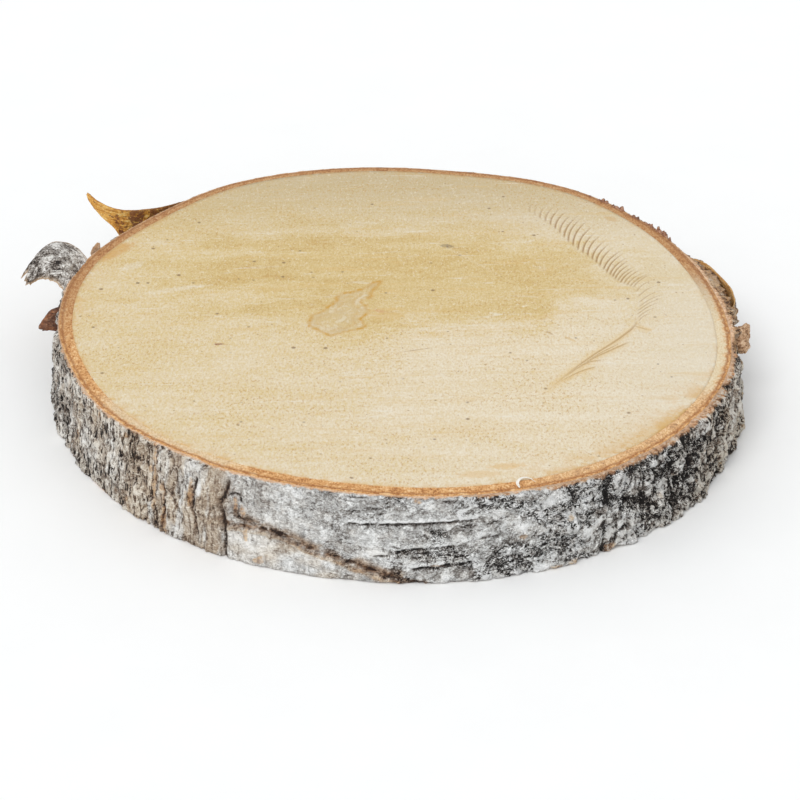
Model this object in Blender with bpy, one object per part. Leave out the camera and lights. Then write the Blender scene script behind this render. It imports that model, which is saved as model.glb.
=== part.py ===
# Birch wood slice: a sawn disc of birch wood in its ring of bark.
# Metres, +Z up, with the origin at the middle of the sawn base. The left, the back and the right are those seen
# from -Y. Shapes are worked out in millimetres and angles in degrees, counter-clockwise from +X.

import math

import bpy
import numpy as np

# Driving sizes, in millimetres
THICKNESS = 40.0
MEAN_RADIUS = 158.0
GROWTH_GAP = 0.4          # between the wood and the bark, which touch on the real slice
RIM_DROP = 0.6            # the torn outer edge of the bark lies this much under the sawn face
PEEL_THICKNESS = 1.3

# Sizes round the slice at equal steps from +X, joined by a smooth closed curve
OUTER_RADII = (152.5, 150.5, 153.8, 158.5, 156.5, 160.0, 163.0, 159.0, 160.0,
               157.5, 155.0, 155.0, 154.5, 156.0, 160.5, 164.0, 162.5, 158.5)
BASE_FLARE = (3.0, 2.0, 2.0, 2.0, 2.0, 3.0, 4.0, 2.5, 4.5, 2.5, -1.5, 0.0)
BARK_WIDTHS = (10.0, 6.5, 5.5, 6.0, 7.5, 8.0, 10.5, 12.0)
FISSURE_DEPTHS = (3.0, 2.0, 1.6, 1.6, 1.8, 1.8, 2.0, 2.0, 2.2, 2.6, 2.4, 2.0, 1.4, 0.8, 1.4, 2.6, 3.4, 3.6)
PLATE_LIFTS = (1.6, 1.2, 0.8, 0.8, 0.8, 0.8, 0.8, 0.9, 1.0, 1.2, 1.0, 0.8, 0.6, 0.4, 0.8, 1.2, 1.8, 2.0)

# Bark plates: each grows round a point of a shaken grid, taller than it is wide
PLATE_COLUMNS = 84
PLATE_ROW_PITCH = 14.0
PLATE_SQUASH = 0.6
PLATE_SHAKE = 0.38
CRACK_WIDTH = 3.6
PLATE_SEED = 11

# Cracks, ledges and the scar, as lines of (angle, height) with a depth, a half width and a raised lower or upper lip
LONG_CRACKS = [
    {"line": ((242.2, 34), (241.4, 22), (242.0, 10), (242.2, -2)), "depth": 2.4, "width": 2.0, "lip": 0.0},
    {"line": ((223.4, 40), (223.2, 24)), "depth": 1.8, "width": 1.8, "lip": 0.0},
    {"line": ((304.6, 36), (304.8, 22)), "depth": 2.4, "width": 2.2, "lip": 0.0},
    {"line": ((304.1, 13), (304.3, -2)), "depth": 2.8, "width": 2.4, "lip": 0.0},
    {"line": ((318.3, 42), (318.8, 20)), "depth": 3.0, "width": 2.2, "lip": 0.0},
    {"line": ((322.4, 42), (323.0, 18)), "depth": 3.0, "width": 2.2, "lip": 0.0},
]
LEDGES = [
    {"line": ((261.5, 26.0), (282.0, 27.0)), "depth": 1.1, "width": 1.8, "lip": 0.6},
    {"line": ((269.5, 15.8), (278.5, 16.2)), "depth": 1.0, "width": 1.8, "lip": 0.5},
    {"line": ((271.5, 6.4), (280.5, 6.8)), "depth": 1.0, "width": 1.8, "lip": 0.5},
]
SCAR = [{"line": ((241.0, 15.5), (248.7, 16.5), (256.0, 10.6), (263.7, 4.5), (270.0, -1.0)),
         "depth": 1.5, "width": 2.4, "lip": -0.8}]
MARKS = LONG_CRACKS + LEDGES + SCAR

# How finely the solids are cut into faces
BARK_COLUMNS = 288
BARK_ROWS = 12
WOOD_SIDES = 150

# Saw marks on the top face: the short ones stand on a curve, with lengths and directions that change along it
GROOVE_DEPTH = 0.5
GROOVE_WIDTH = 0.9
GROOVE_POINTS = 9
MARK_COUNT = 27
MARK_FEET = ((63, 107), (73, 92), (81.5, 72), (90.5, 57), (97, 43), (102, 34.5), (108, 29))
MARK_LENGTHS = (12, 20, 31, 23, 25, 20, 18)
MARK_TURNS = (90, 82, 80, 79, 71, 68, 62)
MARK_BEND = 20.0
FAN = (((108.5, 6.5), (113.5, 13.5), (123.5, 22)),
       ((108, 3.5), (113.5, 10.5), (120.5, 17)),
       ((108.5, -1), (112.5, 4), (116.5, 7.5)))
SWOOSH = (((106.5, -7.5), (95, -23.5), (80, -43), (61, -72.5)),
          ((104, -22), (92.5, -32.5), (79.5, -45.5), (70, -58)),
          ((91, -39), (81, -44.5), (69, -59.5)))

# Sheets of bark that stand off the trunk: rows of (x, y, z) from root to tip, each from one edge to the other
GOLD_CURL = (
    ((-93.3, 128.5, 39.4), (-94.2, 129.7, 20), (-95, 130.8, 3)),
    ((-105, 121.2, 39.6), (-105.8, 122.2, 21), (-106.6, 123, 4)),
    ((-117.5, 113, 39.8), (-118.3, 113.9, 22), (-119, 114.2, 7)),
    ((-131.5, 109.5, 40), (-132, 110.8, 28), (-131.5, 109, 16)),
    ((-140, 111.5, 40.2), (-140.8, 112.5, 34.8), (-139.5, 110.5, 29)),
    ((-148, 118, 41), (-148.8, 118.5, 37.4), (-147.5, 117, 34)),
    ((-153.5, 125, 42), (-154, 125.5, 40.8), (-153.5, 124.5, 39)),
)
GREY_FLAP = (
    ((-146, 58, 37.5), (-151.5, 43, 37), (-154, 27, 35)),
    ((-153.5, 60.5, 45), (-156, 46, 45.5), (-158.5, 31, 39)),
    ((-162.5, 59.5, 48.5), (-164.5, 47, 48.5), (-164, 33.5, 41.5)),
    ((-170.5, 52.5, 45.5), (-171, 45, 45), (-169.5, 37, 39.5)),
    ((-178.5, 46, 36.5), (-178, 42.5, 36.2), (-175, 39, 34.5)),
)
BROWN_FLAP = (
    ((-154, 15, 38), (-154, 9, 34), (-154, 3, 30)),
    ((-160.5, 13.5, 37.5), (-161.5, 8.5, 35), (-160.5, 4, 31)),
    ((-165, 9, 35), (-165.6, 6.8, 33.4), (-165, 4.6, 31.6)),
)
RIGHT_CURL = (
    ((132, 63.5, 39.2), (132, 63.5, 21), (132, 63.5, 3)),
    ((138, 60, 39.5), (138.6, 60.5, 23), (138, 60, 6)),
    ((144.5, 53.5, 39.8), (145.3, 54, 25), (144.5, 53.5, 11)),
    ((150.5, 42, 40), (151.5, 42.5, 29), (150.5, 42, 18)),
    ((155.2, 28, 40), (156.2, 28, 32), (155, 28, 25)),
    ((155, 16, 39.5), (155.8, 15.8, 34.5), (154.6, 16.5, 30)),
    ((151.5, 9, 38.5), (152, 8.6, 35.5), (151.5, 9.4, 32.5)),
)
LEFT_SPLINTER = (
    ((-144.5, 67, 36), (-145.5, 64.5, 36), (-146.5, 62, 36)),
    ((-145.8, 68.5, 41), (-146.6, 66.5, 41), (-147.6, 64.5, 41)),
    ((-145.5, 70, 44.6), (-145.9, 69.4, 44.8), (-146.4, 68.6, 44.2)),
)
PEELS = (GOLD_CURL, GREY_FLAP, BROWN_FLAP, RIGHT_CURL, LEFT_SPLINTER)
PEEL_STEPS = (3, 3)       # faces between two rows, and between two points of a row

# Chips on the back rim and the knob at the right
BACK_CHIP_ANGLES = (40.5, 44.5, 48.5, 51.5)
BACK_CHIP_REACH = 3.2
BACK_CHIP_TOP = 41.2
BACK_CHIP_ROOT = {"inward": 2.5, "half_width": 2.2, "top": 39.0, "low": 31.0}
KNOB_CENTRE = (155.0, -7.5, 33.5)
KNOB_RADII = (6.0, 9.0, 6.5)
KNOB_LUMP = 0.2
KNOB_RINGS = 8
KNOB_SIDES = 12

# Colours and finish of each node, as linear values
WOOD_FINISH = {"colour": (0.72, 0.58, 0.36, 1.0), "roughness": 0.75}
BARK_FINISH = {"colour": (0.33, 0.30, 0.27, 1.0), "roughness": 0.9}

TO_METRES = 0.001


def clear_scene():
    for thing in list(bpy.data.objects):
        bpy.data.objects.remove(thing)


def around(values, degrees):
    # smooth closed curve through values set at equal angles (a Catmull-Rom curve)
    table = np.asarray(values, float)
    count = len(table)
    place = np.asarray(degrees, float) / 360.0 * count
    first = np.floor(place).astype(int)
    t = place - first
    before, start, end, after = (table[(first + step) % count] for step in (-1, 0, 1, 2))
    bend = 2 * before - 5 * start + 4 * end - after
    twist = 3 * (start - end) + after - before
    return start + 0.5 * t * (end - before + t * (bend + t * twist))


def along(points, place):
    # smooth open curve through points, read at places counted in whole points
    table = np.asarray(points, float)
    last = len(table) - 1
    first = np.clip(np.floor(place).astype(int), 0, last - 1)
    t = (np.asarray(place, float) - first).reshape((-1,) + (1,) * (table.ndim - 1))
    padded = np.concatenate([2 * table[:1] - table[1:2], table, 2 * table[-1:] - table[-2:-1]])
    before, start, end, after = (padded[first + step] for step in range(4))
    bend = 2 * before - 5 * start + 4 * end - after
    twist = 3 * (start - end) + after - before
    return start + 0.5 * t * (end - before + t * (bend + t * twist))


def smooth_step(value):
    t = np.clip(value, 0.0, 1.0)
    return t * t * (3 - 2 * t)


def wood_radius(degrees, height):
    taper = around(BASE_FLARE, degrees) * (1 - height / THICKNESS)
    return around(OUTER_RADII, degrees) - around(BARK_WIDTHS, degrees) + taper


def plate_relief(degrees, height):
    # plates between cracks: how far a spot is from the border between its two nearest plate centres
    draw = np.random.default_rng(PLATE_SEED)
    girth = 2 * math.pi * MEAN_RADIUS
    pitch = girth / PLATE_COLUMNS
    rows = int(THICKNESS / PLATE_ROW_PITCH) + 3
    column, row = np.meshgrid(np.arange(PLATE_COLUMNS), np.arange(rows))
    shake = draw.uniform(-PLATE_SHAKE, PLATE_SHAKE, (2,) + column.shape)
    centre_arc = (column + shake[0]) * pitch
    centre_height = (row - 1 + 0.5 * (column % 2) + shake[1]) * PLATE_ROW_PITCH
    lift = draw.uniform(-1.0, 1.0, column.shape).ravel()
    across = (np.radians(degrees) * MEAN_RADIUS)[..., None] - centre_arc.ravel()
    across = (across + girth / 2) % girth - girth / 2
    up = (height[..., None] - centre_height.ravel()) * PLATE_SQUASH
    distance = np.hypot(across, up)
    order = np.argsort(distance, axis=-1)[..., :2]
    nearest, second = np.moveaxis(np.take_along_axis(distance, order, -1), -1, 0)
    plate = smooth_step((second - nearest) / CRACK_WIDTH)
    sunk = around(FISSURE_DEPTHS, degrees) * (plate - 1)
    return sunk + around(PLATE_LIFTS, degrees) * lift[order[..., 0]] * plate


def mark_relief(degrees, height, mark):
    # a groove along a line, with its lip raised above the line, or below it where the lip is negative
    relief = np.zeros_like(degrees)
    closest = np.full_like(degrees, 1e9)
    points = np.array([(math.radians(a) * MEAN_RADIUS, z) for a, z in mark["line"]])
    spot = np.stack([np.radians(degrees) * MEAN_RADIUS, height], -1)
    for start, end in zip(points[:-1], points[1:]):
        run = end - start
        share = np.clip(((spot - start) @ run) / (run @ run), 0, 1)
        away = spot - start - share[..., None] * run
        distance = np.hypot(away[..., 0], away[..., 1])
        near = distance < closest
        closest = np.where(near, distance, closest)
        above = np.sign(away[..., 1]) * np.sign(mark["lip"]) if mark["lip"] else np.zeros_like(distance)
        groove = -mark["depth"] * np.exp(-(distance / mark["width"]) ** 2)
        lip = abs(mark["lip"]) * (above > 0) * np.exp(-((distance - 1.6 * mark["width"]) / mark["width"]) ** 2)
        relief = np.where(near, groove + lip, relief)
    return relief


def outer_radius(degrees, height):
    taper = around(BASE_FLARE, degrees) * (1 - height / THICKNESS)
    radius = around(OUTER_RADII, degrees) + taper + plate_relief(degrees, height)
    for mark in MARKS:
        radius = radius + mark_relief(degrees, height, mark)
    return radius


def add_object(name, points, faces):
    mesh = bpy.data.meshes.new(name)
    mesh.from_pydata((np.asarray(points) * TO_METRES).tolist(), [], [list(face) for face in faces])
    mesh.validate()
    thing = bpy.data.objects.new(name, mesh)
    bpy.context.scene.collection.objects.link(thing)
    return thing


def ring_faces(columns, loop):
    # quads of a closed ring whose cross-section is a loop of points
    faces = []
    for column in range(columns):
        after = (column + 1) % columns
        for spot in range(loop):
            on = (spot + 1) % loop
            faces.append((column * loop + spot, after * loop + spot, after * loop + on, column * loop + on))
    return faces


def build_bark():
    # each column is one cross-section: up the rough outside, in over the top, down the smooth inside
    step = 360.0 / BARK_COLUMNS
    turn, height = np.meshgrid(np.arange(BARK_COLUMNS) * step, np.linspace(0, THICKNESS, BARK_ROWS + 1), indexing="ij")
    radius = outer_radius(turn, height)
    rise = height.copy()
    rise[:, -1] -= RIM_DROP
    inner_turn = turn[:, :2]
    inner_height = np.tile([THICKNESS, 0.0], (BARK_COLUMNS, 1))
    inner_radius = wood_radius(inner_turn, inner_height) + GROWTH_GAP
    turn = np.radians(np.concatenate([turn, inner_turn], 1))
    radius = np.concatenate([radius, inner_radius], 1)
    rise = np.concatenate([rise, inner_height], 1)
    points = np.stack([radius * np.cos(turn), radius * np.sin(turn), rise], -1).reshape(-1, 3)
    return add_object("bark", points, ring_faces(BARK_COLUMNS, BARK_ROWS + 3))


def build_peel(rows):
    # a sheet through the rows, given its thickness along its own normals and closed at its edges
    down = np.linspace(0, len(rows) - 1, (len(rows) - 1) * PEEL_STEPS[0] + 1)
    over = np.linspace(0, len(rows[0]) - 1, (len(rows[0]) - 1) * PEEL_STEPS[1] + 1)
    sheet = along(rows, down)
    sheet = np.moveaxis(along(np.moveaxis(sheet, 1, 0), over), 0, 1)
    normal = np.cross(np.gradient(sheet, axis=0), np.gradient(sheet, axis=1))
    normal /= np.linalg.norm(normal, axis=-1, keepdims=True)
    half = PEEL_THICKNESS / 2
    points = np.concatenate([(sheet + half * normal).reshape(-1, 3), (sheet - half * normal).reshape(-1, 3)])
    length, width = sheet.shape[:2]
    under = length * width
    faces = []
    for i in range(length - 1):
        for j in range(width - 1):
            a, b, c, d = i * width + j, (i + 1) * width + j, (i + 1) * width + j + 1, i * width + j + 1
            faces += [(a, b, c), (a, c, d), (under + a, under + c, under + b), (under + a, under + d, under + c)]
    edge = [i * width for i in range(length)] + [(length - 1) * width + j for j in range(1, width)]
    edge += [i * width + width - 1 for i in range(length - 2, -1, -1)] + list(range(width - 2, 0, -1))
    for here, on in zip(edge, edge[1:] + edge[:1]):
        faces += [(here, under + here, under + on), (here, under + on, on)]
    return add_object("peel", points, faces)


def build_chip(degrees):
    # a short torn point that leans out from the back rim
    radius = around(OUTER_RADII, degrees)
    turn = math.radians(degrees)
    out = np.array([math.cos(turn), math.sin(turn), 0.0])
    side = np.array([-out[1], out[0], 0.0])
    up = np.array([0.0, 0.0, 1.0])
    root = out * (radius - BACK_CHIP_ROOT["inward"])
    tip = out * (radius + BACK_CHIP_REACH) + up * BACK_CHIP_TOP
    half = side * BACK_CHIP_ROOT["half_width"]
    top = up * BACK_CHIP_ROOT["top"]
    low = up * BACK_CHIP_ROOT["low"]
    points = [root + half + top, root - half + top, root - half + low, root + half + low, tip]
    return add_object("chip", points, [(3, 2, 1, 0), (0, 1, 4), (1, 2, 4), (2, 3, 4), (3, 0, 4)])


def build_knob():
    # a lumpy ball that stands half out of the bark
    rings, sides = KNOB_RINGS, KNOB_SIDES
    falls = np.linspace(0, math.pi, rings + 1)[1:-1]
    fall, turn = np.meshgrid(falls, np.arange(sides) * 2 * math.pi / sides, indexing="ij")
    size = 1 + KNOB_LUMP * np.sin(3 * turn + 1.0) * np.sin(2 * fall + 0.6)
    ball = np.stack([np.sin(fall) * np.cos(turn), np.sin(fall) * np.sin(turn), np.cos(fall)], -1) * size[..., None]
    points = np.concatenate([ball.reshape(-1, 3), [(0, 0, 1), (0, 0, -1)]]) * KNOB_RADII + KNOB_CENTRE
    top, bottom = len(points) - 2, len(points) - 1
    faces = []
    for i in range(rings - 2):
        for j in range(sides):
            on = (j + 1) % sides
            faces.append((i * sides + j, (i + 1) * sides + j, (i + 1) * sides + on, i * sides + on))
    last = (rings - 2) * sides
    for j in range(sides):
        on = (j + 1) % sides
        faces += [(top, j, on), (bottom, last + on, last + j)]
    return add_object("knob", points, faces)


def join_to(body, others, operation):
    # one Boolean on a collection, applied, after which the collection's objects are gone
    group = bpy.data.collections.new("joined")
    bpy.context.scene.collection.children.link(group)
    for thing in others:
        bpy.context.scene.collection.objects.unlink(thing)
        group.objects.link(thing)
    boolean = body.modifiers.new("join", "BOOLEAN")
    boolean.operation = operation
    boolean.operand_type = "COLLECTION"
    boolean.collection = group
    boolean.solver = "EXACT"
    bpy.context.view_layer.update()
    evaluated = body.evaluated_get(bpy.context.evaluated_depsgraph_get())
    joined = bpy.data.meshes.new_from_object(evaluated)
    body.modifiers.remove(boolean)
    body.data = joined
    body.data.name = body.name
    for thing in others:
        bpy.data.objects.remove(thing)
    bpy.data.collections.remove(group)


def build_wood():
    turn = np.arange(WOOD_SIDES) * 360.0 / WOOD_SIDES
    rounds = []
    for height in (0.0, THICKNESS):
        radius = wood_radius(turn, height)
        angle = np.radians(turn)
        rounds.append(np.stack([radius * np.cos(angle), radius * np.sin(angle), np.full_like(turn, height)], -1))
    faces = [tuple(range(WOOD_SIDES - 1, -1, -1)), tuple(range(WOOD_SIDES, 2 * WOOD_SIDES))]
    for side in range(WOOD_SIDES):
        on = (side + 1) % WOOD_SIDES
        faces.append((side, on, WOOD_SIDES + on, WOOD_SIDES + side))
    return add_object("wood_disc", np.concatenate(rounds), faces)


def build_groove(route, width, depth):
    # a shallow V cut along a route on the top face, which runs out to a point at both ends
    route = np.asarray(route, float)
    run = np.gradient(route, axis=0)
    run /= np.linalg.norm(run, axis=-1, keepdims=True)
    side = np.stack([-run[:, 1], run[:, 0]], -1)
    swell = np.sin(np.linspace(0, math.pi, len(route)))[1:-1, None]
    above = np.full((len(route) - 2, 1), THICKNESS + depth)
    middle = route[1:-1]
    left = np.hstack([middle + side[1:-1] * swell * width, above])
    right = np.hstack([middle - side[1:-1] * swell * width, above])
    keel = np.hstack([middle, THICKNESS - depth * swell])
    ends = np.hstack([route[[0, -1]], [[THICKNESS + depth], [THICKNESS + depth]]])
    points = np.concatenate([np.stack([left, keel, right], 1).reshape(-1, 3), ends])
    count = len(middle)
    first, last = 3 * count, 3 * count + 1
    faces = []
    for i in range(count - 1):
        a, b = 3 * i, 3 * i + 3
        faces += [(b, b + 1, a + 1, a), (b + 1, b + 2, a + 2, a + 1), (b + 2, b, a, a + 2)]
    faces += [(0, 1, first), (1, 2, first), (2, 0, first)]
    end = 3 * (count - 1)
    faces += [(end + 1, end, last), (end + 2, end + 1, last), (end, end + 2, last)]
    return add_object("groove", points, faces)


def build_saw_marks():
    # short curved cuts that march along an arc, then the fan of fine lines and the swoosh
    grooves = []
    place = np.linspace(0, 1, GROOVE_POINTS)
    for number in range(MARK_COUNT):
        step = [number / (MARK_COUNT - 1) * (len(MARK_FEET) - 1)]
        foot = along(MARK_FEET, step)[0]
        length = along(MARK_LENGTHS, step)[0]
        turn = np.radians(along(MARK_TURNS, step)[0] + MARK_BEND * (0.5 - place))
        route = foot + length * place[:, None] * np.stack([np.cos(turn), np.sin(turn)], -1)
        grooves.append(build_groove(route, GROOVE_WIDTH / 2, GROOVE_DEPTH))
    for lines, half_width in ((FAN, GROOVE_WIDTH / 2), (SWOOSH, GROOVE_WIDTH)):
        for points in lines:
            route = along(points, place * (len(points) - 1))
            grooves.append(build_groove(route, half_width, GROOVE_DEPTH))
    return grooves


def give_finish(thing, finish):
    material = bpy.data.materials.new(thing.name)
    material.use_nodes = True
    shader = material.node_tree.nodes["Principled BSDF"]
    shader.inputs["Base Color"].default_value = finish["colour"]
    shader.inputs["Roughness"].default_value = finish["roughness"]
    shader.inputs["Metallic"].default_value = 0.0
    thing.data.materials.clear()
    thing.data.materials.append(material)


def main():
    clear_scene()
    wood = build_wood()
    join_to(wood, build_saw_marks(), "DIFFERENCE")
    bark = build_bark()
    growths = [build_peel(rows) for rows in PEELS]
    growths += [build_chip(angle) for angle in BACK_CHIP_ANGLES]
    growths.append(build_knob())
    join_to(bark, growths, "UNION")
    give_finish(wood, WOOD_FINISH)
    give_finish(bark, BARK_FINISH)


main()
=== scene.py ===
# Birch wood slice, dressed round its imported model.
# Lengths are in millimetres until a mesh is made, and angles are in degrees, counter-clockwise from +X.
import bpy
import math
import numpy as np
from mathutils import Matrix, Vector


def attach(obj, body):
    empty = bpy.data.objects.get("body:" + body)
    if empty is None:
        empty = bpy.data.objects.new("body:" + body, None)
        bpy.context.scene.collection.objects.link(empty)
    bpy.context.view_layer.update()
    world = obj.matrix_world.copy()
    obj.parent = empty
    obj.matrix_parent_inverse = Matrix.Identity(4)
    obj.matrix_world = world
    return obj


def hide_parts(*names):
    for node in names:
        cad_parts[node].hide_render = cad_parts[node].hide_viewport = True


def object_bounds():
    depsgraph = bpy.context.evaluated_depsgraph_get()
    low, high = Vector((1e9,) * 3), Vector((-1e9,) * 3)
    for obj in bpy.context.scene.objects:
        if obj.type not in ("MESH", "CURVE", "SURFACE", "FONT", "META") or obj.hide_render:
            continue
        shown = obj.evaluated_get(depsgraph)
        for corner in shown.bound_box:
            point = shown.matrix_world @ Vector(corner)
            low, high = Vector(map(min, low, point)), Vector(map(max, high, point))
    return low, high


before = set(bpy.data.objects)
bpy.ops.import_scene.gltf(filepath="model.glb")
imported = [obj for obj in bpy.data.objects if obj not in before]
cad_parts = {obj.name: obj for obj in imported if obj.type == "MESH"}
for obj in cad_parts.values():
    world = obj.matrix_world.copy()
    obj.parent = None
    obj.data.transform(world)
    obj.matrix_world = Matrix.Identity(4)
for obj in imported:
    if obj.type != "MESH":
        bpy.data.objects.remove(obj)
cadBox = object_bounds()
mm = 0.001
boxLow, boxHigh = (np.array(corner) / mm for corner in cadBox)
print("model loaded:", ", ".join(sorted(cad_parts)))


# Camera, light and floor

studio = {
    "cameraPlace": (-0.0003, -1.2993, 0.7468),
    "cameraTilt": 60.0,
    "lens": 145.6,
    "sensor": 36.0,
    "skyStrength": 0.78,
    "skyTint": (0.97, 0.985, 1.0),
    "sunStrength": 1.15,
    "sunAngle": 28.0,
    "sunTurn": (42.0, 0.0, -24.0),
    "floorSide": 8.0,
    "floorDrop": 0.2,
    "floorTint": (250, 250, 249),
}


def tint(red, green, blue):
    # a colour as seen on screen, 0 to 255, turned into the linear value that a shader takes
    seen = np.array([red, green, blue]) / 255.0
    linear = np.where(seen <= 0.04045, seen / 12.92, ((seen + 0.055) / 1.055) ** 2.4)
    return (*linear.tolist(), 1.0)


class Wire:
    # what a node gives out, where each sign or call adds the node that works it out

    def __init__(self, look, socket):
        self.look = look
        self.socket = socket

    def __add__(self, other):
        return self.look.sums("ADD", self, other)

    def __sub__(self, other):
        return self.look.sums("SUBTRACT", self, other)

    def __rsub__(self, other):
        return self.look.sums("SUBTRACT", other, self)

    def __mul__(self, other):
        return self.look.sums("MULTIPLY", self, other)

    def __truediv__(self, other):
        return self.look.sums("DIVIDE", self, other)

    def __abs__(self):
        return self.look.sums("ABSOLUTE", self)

    def most(self, other):
        # the larger of the two
        return self.look.sums("MAXIMUM", self, other)

    def held(self):
        # kept between 0 and 1
        return self.look.sums("ADD", self, 0.0, clamp=True)

    def step(self, low, high, outLow=0.0, outHigh=1.0):
        # a smooth step from one range to another
        inputs = {"Value": self, "From Min": low, "From Max": high, "To Min": outLow, "To Max": outHigh}
        return self.look.wire("ShaderNodeMapRange", inputs, interpolation_type="SMOOTHSTEP")

    def spread(self, weight):
        # a noise about 0 instead of about 0.5, times a weight
        return (self - 0.5) * weight

    def crease(self, thin, wide):
        # 1 along the curled lines where a noise crosses its middle
        return abs(self - 0.5).step(thin, wide, 1.0, 0.0)


class Finish:
    # one material, and short calls that add nodes to it

    def __init__(self, name):
        self.material = bpy.data.materials.new(name)
        self.material.use_nodes = True
        self.tree = self.material.node_tree
        self.shader = self.tree.nodes["Principled BSDF"]
        place = self.node("ShaderNodeTexCoord").outputs["Object"]
        self.spot = self.vector("SCALE", {0: place, "Scale": 1 / mm})

    def feed(self, made, inputs):
        # each input of a node gets a wire, a socket or a plain value
        for key, value in inputs.items():
            value = getattr(value, "socket", value)
            if isinstance(value, bpy.types.NodeSocket):
                self.tree.links.new(value, made.inputs[key])
            else:
                made.inputs[key].default_value = value

    def node(self, kind, inputs=None, **settings):
        # a new node with its settings and inputs
        made = self.tree.nodes.new(kind)
        for key, value in settings.items():
            setattr(made, key, value)
        self.feed(made, inputs or {})
        return made

    def wire(self, kind, inputs=None, key=0, **settings):
        # what a new node gives out
        return Wire(self, self.node(kind, inputs, **settings).outputs[key])

    def sums(self, operation, first, second=0.0, clamp=False):
        # arithmetic on one or two numbers
        return self.wire("ShaderNodeMath", {0: first, 1: second}, operation=operation, use_clamp=clamp)

    def vector(self, operation, inputs, key="Vector"):
        # arithmetic on places
        return self.wire("ShaderNodeVectorMath", inputs, key, operation=operation)

    def mapped(self, kind="POINT", **inputs):
        # the spot, moved, turned and scaled
        return self.wire("ShaderNodeMapping", {"Vector": self.spot, **inputs}, vector_type=kind)

    def noise(self, size, detail=3.0, rough=0.55, spot=None, warp=0.0):
        # cloudy noise, from 0 to 1, whose lumps are size = (x, y, z) millimetres
        size = tuple(float(s) for s in np.broadcast_to(size, 3))
        inputs = {"Vector": self.vector("DIVIDE", {0: spot or self.spot, 1: size}), "Scale": 1.0,
                  "Detail": detail, "Roughness": rough, "Distortion": warp}
        return self.wire("ShaderNodeTexNoise", inputs)

    def dots(self, pitch, radius, share):
        # round dots: a share of the cells of a grid of scattered points each get one
        cells = self.node("ShaderNodeTexVoronoi", {"Vector": self.spot, "Scale": 1.0 / pitch}, feature="F1")
        split = self.node("ShaderNodeSeparateColor", {"Color": cells.outputs["Color"]})
        size = Wire(self, split.outputs["Green"]) * (radius / pitch)
        near = (Wire(self, cells.outputs["Distance"]) - size).step(0.0, 0.12, 1.0, 0.0)
        return self.sums("LESS_THAN", split.outputs["Red"], share) * near

    def mask(self, name):
        # the number that the mesh holds for each point
        return self.wire("ShaderNodeAttribute", key="Fac", attribute_name=name)

    def ramp(self, value, stops):
        # stops are (place, colour) from the lowest value to the highest
        made = self.node("ShaderNodeValToRGB", {"Fac": value})
        points = made.color_ramp.elements
        points[0].position, points[0].color = stops[0][0], tint(*stops[0][1])
        points[1].position, points[1].color = stops[-1][0], tint(*stops[-1][1])
        for place, colour in stops[1:-1]:
            points.new(place).color = tint(*colour)
        return Wire(self, made.outputs["Color"])

    def blend(self, share, first, second):
        # from the first colour to the second by a share; a colour is a wire, or as seen on screen
        first, second = (tint(*colour) if isinstance(colour, tuple) else colour for colour in (first, second))
        return self.wire("ShaderNodeMix", {0: share, 6: first, 7: second}, 2, data_type="RGBA")

    def cover(self, colour, *layers):
        # each layer is a share and a colour, laid over what is below it
        for share, layer in layers:
            colour = self.blend(share, colour, layer)
        return colour

    def finish(self, colour, roughness, height, depth, strength=1.0):
        # the colour, the roughness and a bump of that many millimetres go to the shader
        bump = self.node("ShaderNodeBump", {"Height": height, "Distance": depth * mm, "Strength": strength})
        normal = bump.outputs["Normal"]
        self.feed(self.shader, {"Base Color": colour, "Roughness": roughness, "Normal": normal})
        return self.material


def show(thing):
    # puts a thing into the scene
    bpy.context.scene.collection.objects.link(thing)
    return thing


def makeMesh(name, points, quads, tris=(), masks=None):
    # whole arrays of points and faces go into one mesh, with a number for each point and mask
    quads = np.asarray(quads, np.int32).reshape(-1, 4)
    tris = np.asarray(tris, np.int32).reshape(-1, 3)
    corners = np.concatenate([quads.ravel(), tris.ravel()])
    starts = np.concatenate([np.arange(len(quads)) * 4, len(quads) * 4 + np.arange(len(tris)) * 3])
    mesh = bpy.data.meshes.new(name)
    mesh.vertices.add(len(points))
    mesh.vertices.foreach_set("co", np.asarray(points, np.float32).ravel() * mm)
    mesh.loops.add(len(corners))
    mesh.loops.foreach_set("vertex_index", corners)
    mesh.polygons.add(len(starts))
    mesh.polygons.foreach_set("loop_start", starts.astype(np.int32))
    mesh.update(calc_edges=True)
    mesh.shade_smooth()
    for key, values in (masks or {}).items():
        layer = mesh.attributes.new(key, "FLOAT", "POINT")
        layer.data.foreach_set("value", np.asarray(values, np.float32).ravel())
    mesh.validate()
    return show(bpy.data.objects.new(name, mesh))


def addPiece(name, points, quads, tris, masks, material, slotName, node):
    # a piece of the slice, kept inside the model's box, that stands for one of its nodes
    points = np.clip(np.asarray(points, float).reshape(-1, 3), boxLow, boxHigh)
    piece = makeMesh(name, points, quads, tris, masks)
    piece.data.materials.append(material)
    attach(piece, "root")
    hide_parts(node)
    print(name, "has", 2 * len(quads) + len(tris), "triangles")
    return piece


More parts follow.
